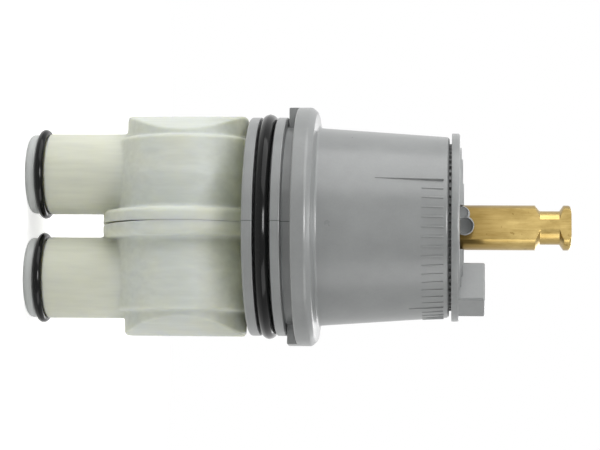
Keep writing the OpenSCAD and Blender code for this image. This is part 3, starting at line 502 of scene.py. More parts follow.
def moulded_nylon_blue(name):
    """Injection moulded nylon with a blue-white tint: satin, with fine rings from the turned mould core."""
    tint = bpy.context.scene.cartridge_colours
    ring_size, cloud_size = 0.35, 5.0
    material, tree, surface, place = start_material(name, {
        "IOR": 1.53, "Subsurface Weight": 0.3, "Subsurface Scale": 1.2 * MM,
        "Subsurface Radius": (1.0, 1.0, 1.0)})
    # Rings around the axis, drawn coarser than turning marks so that they show
    squeeze = add_node(tree, "Mapping", {"Scale": (0.04, 0.04, 1.0)}, {"Vector": place})
    rings = add_node(tree, "TexNoise", {"Scale": 1 / (ring_size * MM), "Detail": 2.0},
                     {"Vector": squeeze.outputs["Vector"]})
    cloud = add_node(tree, "TexNoise", {"Scale": 1 / (cloud_size * MM), "Detail": 2.0}, {"Vector": place})
    base = add_node(tree, "Mix", {6: shaded(tint.cage_blue, 0.93), 7: shaded(tint.cage_blue)},
                    {0: rings.outputs["Fac"]}, data_type="RGBA")
    bump = add_node(tree, "Bump", {"Strength": 0.3, "Distance": 0.03 * MM}, {"Height": rings.outputs["Fac"]})
    close_material(tree, surface, base.outputs[2], cloud.outputs["Fac"], (0.34, 0.48), bump)
    return material


def moulded_grey_plastic(name):
    """Injection moulded glass filled polyphenylene: mid grey, fine satin skin with a cloudy gloss of 6 mm
    where the fibres come near the surface, and a faint mould line down the side."""
    tint = bpy.context.scene.cartridge_colours
    size = in_mm(bpy.context.scene.cartridge_sizes)
    cloud_size, speck_size, line_x, line_half = 6.0, 0.4, 0.55, 0.1
    material, tree, surface, place = start_material(name, {"IOR": 1.5})
    cloud = add_node(tree, "TexNoise", {"Scale": 1 / (cloud_size * MM), "Detail": 4.0, "Roughness": 0.6},
                     {"Vector": place})
    # Glass fibres at the skin, drawn far coarser than they are so that they show
    speck = add_node(tree, "TexNoise", {"Scale": 1 / (speck_size * MM), "Detail": 2.0, "Roughness": 0.7},
                     {"Vector": place})
    mixed = add_node(tree, "Math", {1: 0.35}, {0: speck.outputs["Fac"], 2: cloud.outputs["Fac"]},
                     operation="MULTIPLY_ADD")
    share = add_node(tree, "MapRange", {"From Min": 0.4, "From Max": 0.95}, {"Value": mixed.outputs["Value"]})
    base = add_node(tree, "Mix", {6: shaded(tint.plastic_grey, 0.9), 7: shaded(tint.plastic_grey, 1.06)},
                    {0: share.outputs["Result"]}, data_type="RGBA")
    skin = add_node(tree, "Bump", {"Strength": 0.2, "Distance": 0.02 * MM}, {"Height": speck.outputs["Fac"]})
    # Mould line down the lands and the neck on the front
    split = add_node(tree, "SeparateXYZ", None, {"Vector": place})
    line = add_node(tree, "Math", {1: line_x * MM, 2: line_half * MM}, {0: split.outputs["X"]},
                    operation="COMPARE")
    low_part = add_node(tree, "Math", {1: size.flange_z * MM}, {0: split.outputs["Z"]}, operation="LESS_THAN")
    ridge = add_node(tree, "Math", None, {0: line.outputs["Value"], 1: low_part.outputs["Value"]},
                     operation="MULTIPLY")
    lined = add_node(tree, "Mix", {7: linear("#5C5E5F")}, {0: ridge.outputs["Value"], 6: base.outputs[2]},
                     data_type="RGBA")
    raised = add_node(tree, "Bump", {"Strength": 0.6, "Distance": 0.05 * MM},
                      {"Height": ridge.outputs["Value"], "Normal": skin.outputs["Normal"]})
    close_material(tree, surface, lined.outputs[2], cloud.outputs["Fac"], (0.24, 0.36), raised)
    return material


def greased_rubber(name):
    """Moulded nitrile rubber wiped with silicone grease: near black, a wet gloss broken by smears of 3 mm."""
    tint = bpy.context.scene.cartridge_colours
    smear_size, grain_size = 3.0, 0.3
    material, tree, surface, place = start_material(name, {"IOR": 1.45, "Specular IOR Level": 0.18})
    smear = add_node(tree, "TexNoise", {"Scale": 1 / (smear_size * MM), "Detail": 3.0}, {"Vector": place})
    base = add_node(tree, "Mix", {6: shaded(tint.rubber_black), 7: shaded(tint.rubber_black, 1.7)},
                    {0: smear.outputs["Fac"]}, data_type="RGBA")
    grain = add_node(tree, "TexNoise", {"Scale": 1 / (grain_size * MM), "Detail": 1.0}, {"Vector": place})
    bump = add_node(tree, "Bump", {"Strength": 0.15, "Distance": 0.01 * MM}, {"Height": grain.outputs["Fac"]})
    close_material(tree, surface, base.outputs[2], smear.outputs["Fac"], (0.08, 0.2), bump)
    return material


def milled_brass(name):
    """Turned and milled brass, dulled by handling: a khaki yellow with browner blotches of 2.5 mm drawn out
    along the bar, small dark specks, and a painted brown shade and dark reflection near the limit stop."""
    tint = bpy.context.scene.cartridge_colours
    size = in_mm(bpy.context.scene.cartridge_sizes)
    blotch_size, streak_size, speck_size, painted_shade_low, painted_shade_high = 2.5, 0.35, 0.8, 2.0, 14.0
    material, tree, surface, place = start_material(name, {"Metallic": 1.0})
    split = add_node(tree, "SeparateXYZ", None, {"Vector": place})
    drawn = add_node(tree, "Mapping", {"Scale": (1.0, 1.0, 0.45)}, {"Vector": place})
    blotch = add_node(tree, "TexNoise", {"Scale": 1 / (blotch_size * MM), "Detail": 4.0, "Roughness": 0.65},
                      {"Vector": drawn.outputs["Vector"]})
    fine = add_node(tree, "Mapping", {"Scale": (1.0, 1.0, 0.08)}, {"Vector": place})
    streak = add_node(tree, "TexNoise", {"Scale": 1 / (streak_size * MM), "Detail": 2.0},
                      {"Vector": fine.outputs["Vector"]})
    mixed = add_node(tree, "Math", {1: 0.5}, {0: streak.outputs["Fac"], 2: blotch.outputs["Fac"]},
                     operation="MULTIPLY_ADD")
    share = add_node(tree, "MapRange", {"From Min": 0.5, "From Max": 1.0}, {"Value": mixed.outputs["Value"]})
    base = add_node(tree, "Mix", {6: shaded(tint.brass_dark), 7: shaded(tint.brass_light)},
                    {0: share.outputs["Result"]}, data_type="RGBA")
    # Painted shade and dark reflection that fade out above the limit stop, and specks of tarnish
    near = add_node(tree, "MapRange", {"From Min": (size.plate_z + painted_shade_high) * MM,
                                       "From Max": (size.plate_z + painted_shade_low) * MM},
                    {"Value": split.outputs["Z"]}, interpolation_type="SMOOTHSTEP")
    shade_near_stop = add_node(tree, "Math", None, {0: near.outputs["Result"], 1: blotch.outputs["Fac"]},
                      operation="MULTIPLY")
    speck = add_node(tree, "TexNoise", {"Scale": 1 / (speck_size * MM), "Detail": 1.0}, {"Vector": place})
    spot = add_node(tree, "MapRange", {"From Min": 0.68, "From Max": 0.78, "To Max": 0.5},
                    {"Value": speck.outputs["Fac"]})
    # Mix share of the painted shade near the stop and of the tarnish specks, the larger of the two
    dull = add_node(tree, "Math", None, {0: shade_near_stop.outputs["Value"], 1: spot.outputs["Result"]},
                    operation="MAXIMUM")
    # Brown of the painted shade and dark reflection near the stop, and of the tarnish specks
    shaded_and_specked = add_node(tree, "Mix", {7: linear("#6E5421")}, {0: dull.outputs["Value"], 6: base.outputs[2]},
                       data_type="RGBA")
    bump = add_node(tree, "Bump", {"Strength": 0.35, "Distance": 0.015 * MM},
                    {"Height": mixed.outputs["Value"]})
    close_material(tree, surface, shaded_and_specked.outputs[2], blotch.outputs["Fac"], (0.22, 0.42), bump)
    return material


def plain_material(name, code, shader, shade, size, detail, dull, squeeze=None, bump=None):
    """Material whose colour, gloss and bump all follow one pattern of a size in millimetres."""
    material, tree, surface, place = start_material(name, shader)
    if squeeze:
        place = add_node(tree, "Mapping", {"Scale": squeeze}, {"Vector": place}).outputs["Vector"]
    pattern = add_node(tree, "TexNoise", {"Scale": 1 / (size * MM), "Detail": detail}, {"Vector": place})
    base = add_node(tree, "Mix", {6: shaded(linear(code), shade), 7: linear(code)},
                    {0: pattern.outputs["Fac"]}, data_type="RGBA")
    relief = bump and add_node(tree, "Bump", {"Strength": bump, "Distance": 0.01 * MM},
                               {"Height": pattern.outputs["Fac"]})
    close_material(tree, surface, base.outputs[2], pattern.outputs["Fac"], dull, relief)
    return material


def lapped_ceramic(name, code):
    """Lapped alumina: dense and smooth, with a faint grey cloud of 4 mm and a polished face."""
    return plain_material(name, code, {"IOR": 1.76}, shade=0.92, size=4.0, detail=3.0, dull=(0.1, 0.2))


def drawn_steel(name, code, spacing):
    """Stainless steel with fine turned marks across X, a spacing in millimetres apart along it, which is
    coarser than they are so that they show."""
    return plain_material(name, code, {"Metallic": 1.0}, shade=0.85, size=spacing, detail=2.0,
                          dull=(0.2, 0.35), squeeze=(1.0, 0.1, 0.1), bump=0.2)


def moulded_acetal(name, code):
    """Moulded acetal: dense and slippery, a soft even gloss with a grain of 0.6 mm, drawn coarse to show."""
    return plain_material(name, code, {"IOR": 1.48}, shade=0.85, size=0.6, detail=3.0, dull=(0.28, 0.4),
                          bump=0.15)


def material_of(name, maker, *details):
    """The material of that name, made once."""
    return bpy.data.materials.get(name) or maker(name, *details)


# Pieces

class CARTRIDGE_OT_inlet_halves(Operator):
    """Models the two white halves: drum, seam flange, wing, tube and spigot, with the water ways inside"""

    bl_idname = "cartridge.inlet_halves"
    bl_label = "Inlet halves"

    def execute(self, context):
        s = in_mm(context.scene.cartridge_sizes)
        half = self.outside(s)
        combine(half, self.water_ways(s), "DIFFERENCE")
        other = copy_of(half, "hot_half")
        other.scale = (-1, 1, 1)
        apply_place()
        edit_all(other)
        bpy.ops.mesh.normals_make_consistent(inside=False)
        bpy.ops.object.mode_set(mode="OBJECT")
        nylon = material_of("moulded_nylon_white", moulded_nylon_white)
        for piece, node in ((half, "cold_housing"), (other, "hot_housing")):
            finish(piece, "housing", "white_nylon", nylon, node, angle=40, even=False)
        return {"FINISHED"}

    def outside(self, s):
        """Cold half without its hollows, its edges softened as the mould leaves them."""
        seam_gap, skirt_gap, seam_draft, end_draft, wing_draft = 0.02, 0.05, 0.75, 0.8, 0.1
        spigot_r, spigot_z, mouth_r, mouth_z, step_z = 18.6, 55.0, 7.7, 2.15, 4.1
        wing_end, root_z = s.envelope_r + 0.05, s.skirt_z - 0.4
        skirt_z, blank_r = s.skirt_z - skirt_gap, spigot_r + 0.5
        half = turned("cold_half", rounded([
            (0, -PAST, 0), (s.seam_r, -PAST, 0), (s.seam_r, s.seam_t, 1.2),
            (s.drum_r - seam_draft, s.seam_t, 0.7), (s.drum_r, s.parting, 0),
            (s.drum_r - end_draft, s.drum_end, 0.6), (s.wing_r, s.drum_end, 0.3),
            (s.wing_r - wing_draft, wing_end, 1.0), (0, wing_end, 0)]),
            axis="X", centre=(0, 0, s.chamber_z), steps=180)
        tube = turned("tube", [
            (0, mouth_z), (mouth_r, mouth_z), (mouth_r, step_z), (s.tube_r, step_z), (s.tube_r, s.chamber_z),
            (0, s.chamber_z)], centre=(s.tube_x, 0, 0), steps=120)
        spigot = turned("spigot", [(0, root_z), (blank_r, root_z), (blank_r, spigot_z), (0, spigot_z)],
                        steps=180)
        combine(half, tube, "UNION")
        combine(half, spigot, "UNION")
        envelope = turned("envelope", [
            (0, 0), (s.envelope_r, 0), (s.envelope_r, skirt_z), (spigot_r, skirt_z), (spigot_r, spigot_z),
            (0, spigot_z)], steps=240)
        combine(half, envelope, "INTERSECT")
        soften(half, voxel=0.3, rounds=3)
        cut(half, ((seam_gap, 0, 0), (-1, 0, 0)))
        return join(half, self.parting_line(s))

    def parting_line(self, s):
        """Thin raised line around the drum where the mould parts, between the tube and the bonnet."""
        foot_r, crest_r, foot_half, crest_half = s.drum_r - 0.5, s.drum_r + 0.13, 0.3, 0.16
        low, high = 21.2, s.skirt_z - 0.7
        line = turned("parting_line", rounded([
            (foot_r, s.parting - foot_half, 0), (crest_r, s.parting - crest_half, 0.1),
            (crest_r, s.parting + crest_half, 0.1), (foot_r, s.parting + foot_half, 0)],
            facets=2, closed=True), axis="X", centre=(0, 0, s.chamber_z), steps=180)
        return cut(line, ((0, 0, low), (0, 0, -1)), ((0, 0, high), (0, 0, 1)))

    def water_ways(self, s):
        """One cutter for the bore, the chamber with its pockets, the ports, the outlet and the seam."""
        bore_r, shoulder_z, throat_r, throat_z, throat_half, throat_lap = 6.8, 16.02, 6.3, 21.6, 5.4, 0.6
        chamber_r, pocket_r, pocket_w, chamber_end, port_x, port_half = 7.1, 8.7, 3.4, 17.3, 5.0, 4.0
        mixed_y, mixed_w, mixed_half_l, window_z, window_y, riser_top = 11.0, 4.8, 5.5, 42.0, 20.0, 57.0
        seam_foot, seam_crest, seam_reach = 0.28, 0.02, 19.0
        seam_low, seam_high, seam_middle = 13.0, 30.0, 20.0
        # Nearly the whole half width, so that the two roundings don't meet
        full = 0.98
        cutter = turned("water_ways", [
            (0, -PAST), (bore_r, -PAST), (bore_r, shoulder_z), (throat_r, shoulder_z), (throat_r, throat_z),
            (0, throat_z)], centre=(s.tube_x, 0, 0), steps=96)
        outline = [(0, -PAST), (chamber_r, -PAST)]
        for x in (port_x, s.tube_x):
            outline += [(chamber_r, x - pocket_w / 2), (pocket_r, x - pocket_w / 2),
                        (pocket_r, x + pocket_w / 2), (chamber_r, x + pocket_w / 2)]
        outline += [(chamber_r, chamber_end), (0, chamber_end)]
        combine(cutter, turned("chamber", outline, axis="X", centre=(0, 0, s.chamber_z), steps=96), "UNION")
        riser = block("riser", (port_x - pocket_w / 2, -port_half, s.chamber_z),
                      (port_x + pocket_w / 2, port_half, riser_top))
        bevel_edges(riser, lambda at, way: abs(way.z) > ALONG, width=pocket_w / 2 * full, segments=8)
        mixed = block("mixed", (-PAST, mixed_y - mixed_w / 2, window_z),
                      (mixed_half_l, mixed_y + mixed_w / 2, riser_top))
        bevel_edges(mixed, lambda at, way: abs(way.z) > ALONG and at.x > 0,
                    width=mixed_w / 2 * full, segments=10)
        window = block("window", (-PAST, mixed_y, window_z + 0.01), (mixed_half_l, window_y, s.skirt_z - 0.4))
        bevel_edges(window, lambda at, way: abs(way.y) > ALONG and at.x > 0, width=0.8, segments=4)
        throat = block("throat", (s.tube_x - pocket_w / 2, -throat_half, throat_z - throat_lap),
                       (s.tube_x + pocket_w / 2, throat_half, s.chamber_z))
        seam = block("seam", (-PAST, -seam_reach, seam_low), (seam_foot, seam_reach, seam_high))
        shift(seam, lambda at: at.x > 0 and at.z > seam_middle, (seam_crest - seam_foot, 0, 0))
        for tool in (throat, riser, mixed, window, seam):
            combine(cutter, tool, "UNION")
        return cutter


class CARTRIDGE_OT_check_valves(Operator):
    """Models the cage with its rim and the poppet of each inlet's check valve"""

    bl_idname = "cartridge.check_valves"
    bl_label = "Check valves"

    def execute(self, context):
        s = in_mm(context.scene.cartridge_sizes)
        blue = material_of("moulded_nylon_blue", moulded_nylon_blue)
        black = material_of("moulded_acetal_black", moulded_acetal, BLACK_ACETAL)
        cage = turned("cold_cage", self.cage_outline(s), centre=(s.tube_x, 0, 0), steps=144)
        poppet = turned("cold_poppet", self.poppet_outline(), centre=(s.tube_x, 0, 0), steps=96)
        other_cage = hot_copy(cage, "hot_cage", s.tube_x)
        other_poppet = hot_copy(poppet, "hot_poppet_body", s.tube_x)
        finish(cage, "housing", "blue_white_nylon", blue, "cold_check_cage")
        finish(other_cage, "housing", "blue_white_nylon", blue, "hot_check_cage")
        finish(poppet, "cold_poppet", "black_acetal", black, "cold_check_poppet")
        finish(other_poppet, "hot_poppet", "black_acetal", black, "hot_check_poppet")
        return {"FINISHED"}

    def cage_outline(self, s):
        """Seat, flared mouth, end rim and wall of a cage."""
        mouth_r, mouth_z, flare, seat_z, rim_r, wall_r, bore_r = 4.6, 1.0, 1.0, 4.5, 8.4, 6.75, 6.0
        return rounded([
            (mouth_r, seat_z, 0.2), (mouth_r, mouth_z, 0.4), (mouth_r + flare, 0, 0.3), (rim_r, 0, 1.3),
            (rim_r, s.rim_z, 0.25), (wall_r, s.rim_z, 0.1), (wall_r, CAGE_TOP, 0.2), (bore_r, CAGE_TOP, 0.2),
            (bore_r, seat_z, 0.3)], facets=6, closed=True)

    def poppet_outline(self):
        """Nose, neck, back plate and guide stem of a poppet."""
        low, high = POPPET_LOW.z / MM, POPPET_HIGH.z / MM
        nose_r, neck_r, plate_r, stem_r = 3.9, 2.6, 5.3, 1.5
        nose_top, plate_low, plate_high = 4.5, 5.34, 6.54
        return rounded([
            (0, low, 0), (nose_r, low, 1.2), (nose_r, nose_top, 0.15), (neck_r, nose_top, 0),
            (neck_r, plate_low, 0), (plate_r, plate_low, 0.3), (plate_r, plate_high, 0.25),
            (stem_r, plate_high, 0.2), (stem_r, high, 0.35), (0, high, 0)])


class CARTRIDGE_OT_seals(Operator):
    """Models the large seal in the bonnet's groove and the seal on each tube, each with its mould flash"""

    bl_idname = "cartridge.seals"
    bl_label = "Seals"

    def execute(self, context):
        s = in_mm(context.scene.cartridge_sizes)
        rubber = material_of("greased_rubber", greased_rubber)
        big = self.cord("bonnet_ring", BIG_RING_LOW, BIG_RING_HIGH, middle_x=0, steps=288)
        small = self.cord("cold_ring", RING_LOW, RING_HIGH, middle_x=s.tube_x, steps=160)
        other = hot_copy(small, "hot_ring", s.tube_x)
        for ring, node in ((big, "bonnet_seal"), (small, "cold_inlet_seal"), (other, "hot_inlet_seal")):
            finish(ring, "housing", "black_rubber", rubber, node, angle=50)
        return {"FINISHED"}

    def cord(self, name, low, high, middle_x, steps):
        """Closed cord that fills a box, with a flash line proud of it inside and outside."""
        flash, sides = 0.05, 32
        r = (high.z - low.z) / 2 / MM
        z = (high.z + low.z) / 2 / MM
        ring_r = (high.x - low.x) / 2 / MM - r
        outline = []
        for k in range(sides + 1):
            a = FULL_TURN * k / sides
            across = r - flash if k % (sides // 2) else r
            outline.append((ring_r + across * math.cos(a), z + r * math.sin(a)))
        return turned(name, outline, centre=(middle_x, 0, 0), steps=steps)


class CARTRIDGE_OT_bonnet(Operator):
    """Models the grey bonnet: lands, seal groove, neck, keys, flange and the tapered cap with its ribs"""

    bl_idname = "cartridge.bonnet"
    bl_label = "Bonnet"

    def execute(self, context):
        s = in_mm(context.scene.cartridge_sizes)
        count = context.scene.cartridge_counts
        short, middle, long = 3.8, 6.4, 13.2
        bonnet = self.shell(s)
        combine(bonnet, self.keys(s), "UNION")
        for number, span, first in ((2 * count.ribs - 1, short, 1 - count.ribs), (1, middle, 0),
                                    (1, long, -count.ribs), (1, long, count.ribs)):
            ribs = self.rib(s, span)
            turn_about(ribs, count.rib_middle + first * count.rib_step)
            if number > 1:
                repeat(ribs, number, count.rib_step)
            join(bonnet, ribs)
        join(bonnet, self.pocket_ribs(s))
        join(bonnet, self.key_teeth(s, count))
        finish(bonnet, "housing", "grey_plastic", material_of("moulded_grey_plastic", moulded_grey_plastic),
               "bonnet")
        return {"FINISHED"}

    def shell(self, s):
        """Turned bonnet, outside and inside in one outline."""
        flange_h, edge_r, bevel, draft, hub_draft = 2.7, 1.4, 1.0, 0.15, 0.1
        slope = (s.cap_z - s.flange_z - flange_h - edge_r) / (s.flange_r - edge_r - s.foot_r)
        lift = flange_h + edge_r * math.sqrt(1 + slope * slope)
        edge_z = s.flange_z + lift - edge_r * slope
        foot_z = s.flange_z + lift + (s.flange_r - edge_r - s.foot_r) * slope
        socket_r, cavity_r, bore_r, hub_r = 18.7, 16.8, 6.06, 9.36
        pocket_r, recess_r = s.top_r - 2.9, s.top_r - 1.2
        spigot_z, ceiling_z, floor_z, hub_z, recess_z = 55.05, 72.8, 75.3, 87.0, s.cap_top - 2.9
        groove_low, groove_high, neck_z = s.skirt_z + 2.2, s.skirt_z + 5.8, s.flange_z - 2.2
        return turned("bonnet_shell", rounded([
            (socket_r, s.skirt_z, 0.3), (s.land_r, s.skirt_z, 0.55), (s.land_r, groove_low, 0.15),
            (s.groove_r, groove_low, 0.3), (s.groove_r, groove_high, 0.3), (s.land_r, groove_high, 0.15),
            (s.land_r, neck_z, 0.3), (s.neck_r, neck_z, 0.3), (s.neck_r, s.flange_z, 0.3),
            (s.flange_r, s.flange_z, 0.3), (s.flange_r, edge_z - bevel, 1.0),
            (s.flange_r - bevel, edge_z + bevel * slope, 1.0), (s.foot_r, foot_z, 0.7),
            (s.top_r, s.cap_top, 1.1), (recess_r, s.cap_top, 0.2), (recess_r, recess_z, 0.1),
            (pocket_r, recess_z, 0.2), (pocket_r - draft, floor_z, 0.6), (hub_r + hub_draft, floor_z, 0.6),
            (hub_r, hub_z, 0.4), (bore_r, hub_z, 0.3), (bore_r, ceiling_z, 0.2), (cavity_r, ceiling_z, 0.5),
            (cavity_r, spigot_z, 0.1), (socket_r, spigot_z, 0.1)], closed=True), steps=288)

    def keys(self, s):
        """Two locating keys under the flange: a ring cut down to 8 mm at -X and at +X."""
        half_w, root_r, low, high = 4.0, s.neck_r - 0.8, s.flange_z - 1.95, s.flange_z + 0.6
        ring = turned("keys", rounded([(root_r, low, 0), (s.flange_r, low, 0.25), (s.flange_r, high, 0),
                                       (root_r, high, 0)], facets=3, closed=True), steps=288)
        return cut(ring, *(((0, side * half_w, 0), (0, side, 0)) for side in (1, -1)))

    def rib(self, s, span):
        """One graduation rib towards +X: a wedge with an upright crest, so it runs out down the taper."""
        foot_half, crest_half, rounding, lead, proud, sunk = 0.34, 0.14, 0.05, 0.8, 0.14, 0.5
        top_gap, tail, chamfer, near = 1.1, 0.6, 0.45, 0.01
        top = s.cap_top - top_gap
        taper = (s.foot_r - s.top_r) / (s.cap_top - s.cap_z)
        crest_r = s.top_r + taper * (s.cap_top - top + span) + proud
        root_r = s.top_r + taper * (s.cap_top - top) - sunk
        rib = block("ribs", (root_r, -foot_half, top - span - tail), (crest_r, foot_half, top))
        narrow(rib, lambda at, way: way.x > ALONG, crest_half / foot_half, (crest_r, 0, top - span / 2))
        shift(rib, lambda at: at.x > crest_r - near and at.z > top - near,
              (-chamfer * (crest_r - root_r - sunk), 0, 0))
        bevel_edges(rib, lambda at, way: at.x > crest_r - lead and abs(way.y) < 0.5, rounding, segments=2)
        return rib

    def pocket_ribs(self, s):
        """Six ribs across the pocket around the hub."""
        inner_r, outer_r, half_w, low, high, count = 8.6, s.top_r - 2.4, 0.8, 74.8, s.cap_top - 3.3, 6
        ribs = block("pocket_ribs", (inner_r, -half_w, low), (outer_r, half_w, high))
        bevel_edges(ribs, lambda at, way: abs(way.x) > ALONG and at.z > (low + high) / 2,
                    width=0.3, segments=3)
        return repeat(ribs, count, FULL_TURN / count)

    def key_teeth(self, s, count):
        """Twelve teeth in the recess, each between two teeth of the limit stop."""
        tip_r, root_r, half_w, number = s.top_r - 1.85, s.top_r - 1.0, 0.5, 12
        low, high = s.cap_top - 2.6, s.cap_top - 0.4
        tooth = block("key_teeth", (tip_r, -half_w, low), (root_r, half_w, high))
        narrow(tooth, lambda at, way: way.x < -ALONG, share=0.25, centre=(tip_r, 0, s.cap_top))
        turn_about(tooth, FULL_TURN / count.teeth / 2)
        return repeat(tooth, number, FULL_TURN / number)


class CARTRIDGE_OT_limit_stop(Operator):
    """Models the limit stop: stepped plate, ring of teeth, stop lug and the rounded two-lobed nub"""

    bl_idname = "cartridge.limit_stop"
    bl_label = "Limit stop"

    def execute(self, context):
        s = in_mm(context.scene.cartridge_sizes)
        count = context.scene.cartridge_counts
        stop = self.plate(s, count)
        for part in (self.teeth, self.lug, self.nub):
            join(stop, part(s, count))
        finish(stop, "limit_stop", "grey_plastic", material_of("moulded_grey_plastic", moulded_grey_plastic),
               "limit_stop")
        return {"FINISHED"}

    def plate(self, s, count):
        """Plate with its stepped face, the collar around the stem and the ring that carries the teeth."""
        bore_r, collar_r, collar_z, ring_r, root_r = 5.3, 7.1, 87.4, s.top_r - 3.4, s.top_r - 2.0
        ring_z, face_z, slot_w, slot_in, slot_h = s.cap_top - 2.85, s.plate_z + 1.7, 9.0, 2.0, 2.0
        lip, lip_w, slant = 0.05, 0.3, 0.15
        outline = [
            (bore_r, collar_z, 0.3), (collar_r, collar_z, 0.3), (collar_r, s.plate_z, 0.4),
            (ring_r, s.plate_z, 0.4), (ring_r, ring_z, 0.2), (root_r, ring_z, 0.1), (root_r, s.plate_z, 0.1),
            (s.plate_r, s.plate_z, 0.15), (s.plate_r, face_z, 0.5)]
        rise = 0.0
        for inset, step in ((2.9, 0.3), (5.3, 0.6), (10.4, 0.8)):
            r = s.plate_r - inset
            outline += [(r, face_z + rise, 0.1), (r - slant, face_z + step + lip, 0.1),
                        (r - slant - lip_w, face_z + step + lip, 0.1),
                        (r - 2 * slant - lip_w, face_z + step, 0.1)]
            rise = step
        outline += [(bore_r, face_z + rise, 0.3)]
        plate = turned("limit_stop_plate", rounded(outline, facets=4, closed=True), steps=288)
        slot = block("slot", (slot_in, -slot_w / 2, face_z), (s.plate_r + PAST, slot_w / 2, face_z + slot_h))
        turn_about(slot, count.nub_turn)
        return combine(plate, slot, "DIFFERENCE")

    def teeth(self, s, count):
        """All teeth, copied from one that is narrow at its tip."""
        tip_r, root_r, low, high = s.top_r - 1.4, s.top_r - 2.1, s.cap_top - 2.85, s.plate_z + 0.1
        pitch = FULL_TURN / count.teeth * root_r
        half_w = 0.3 * pitch
        tooth = block("teeth", (root_r, -half_w, low), (tip_r, half_w, high))
        narrow(tooth, lambda at, way: way.x > ALONG, share=0.35, centre=(tip_r, 0, s.cap_top))
        return repeat(tooth, count.teeth, FULL_TURN / count.teeth)

    def lug(self, s, count):
        """Stop lug with rounded upper edges and softened corners."""
        outer_r, span, width, low, top = s.plate_r - 0.3, 8.9, 7.3, s.plate_z + 0.6, STOP_HIGH.z / MM
        lug = block("lug", (outer_r - span, -width / 2, low), (outer_r, width / 2, top))
        bevel_edges(lug, lambda at, way: abs(way.z) > ALONG, width=0.5, segments=4)
        bevel_edges(lug, lambda at, way: at.z > top - 0.01, width=0.42, segments=4)
        return turn_about(lug, count.lug_turn)

    def nub(self, s, count):
        """Two round lobes side by side in front of the stem's flat, each a cup with a rounded rim."""
        face_z, foot_z, inner, outer, rim, edge = s.plate_z + 2.7, s.plate_z + 1.2, 5.75, 9.55, 0.35, 0.1
        lobes = [turned("nub", rounded([(0, inner, 0), (r, inner, 0.1), (r, outer, rim), (0, outer, 0)]),
                        axis="X", centre=(0, y, face_z + z), steps=64)
                 for r, y, z in ((1.97, -0.33, 0), (1.67, -2.67, -0.6))]
        nub = combine(lobes[0], lobes[1], "UNION")
        for r, y, z, deep in ((1.7, -0.3, 0, 1.6), (1.2, -3.0, -0.5, 0.3)):
            cup = turned("cup", rounded([
                (0, outer - deep, 0), (r - edge, outer - deep, 0.25), (r, outer - edge, 0),
                (r + edge, outer + edge, 0), (0, outer + edge, 0)]),
                axis="X", centre=(0, y, face_z + z), steps=48)
            combine(nub, cup, "DIFFERENCE")
        cut(nub, ((0, 0, foot_z), (0, 0, -1)))
        return turn_about(nub, count.nub_turn)


def flat_ways(count):
    """Directions of the stem's two flats."""
    turns = (count.stem_turn, count.stem_turn + math.pi)
    return [Vector((math.cos(turn), math.sin(turn), 0)) for turn in turns]


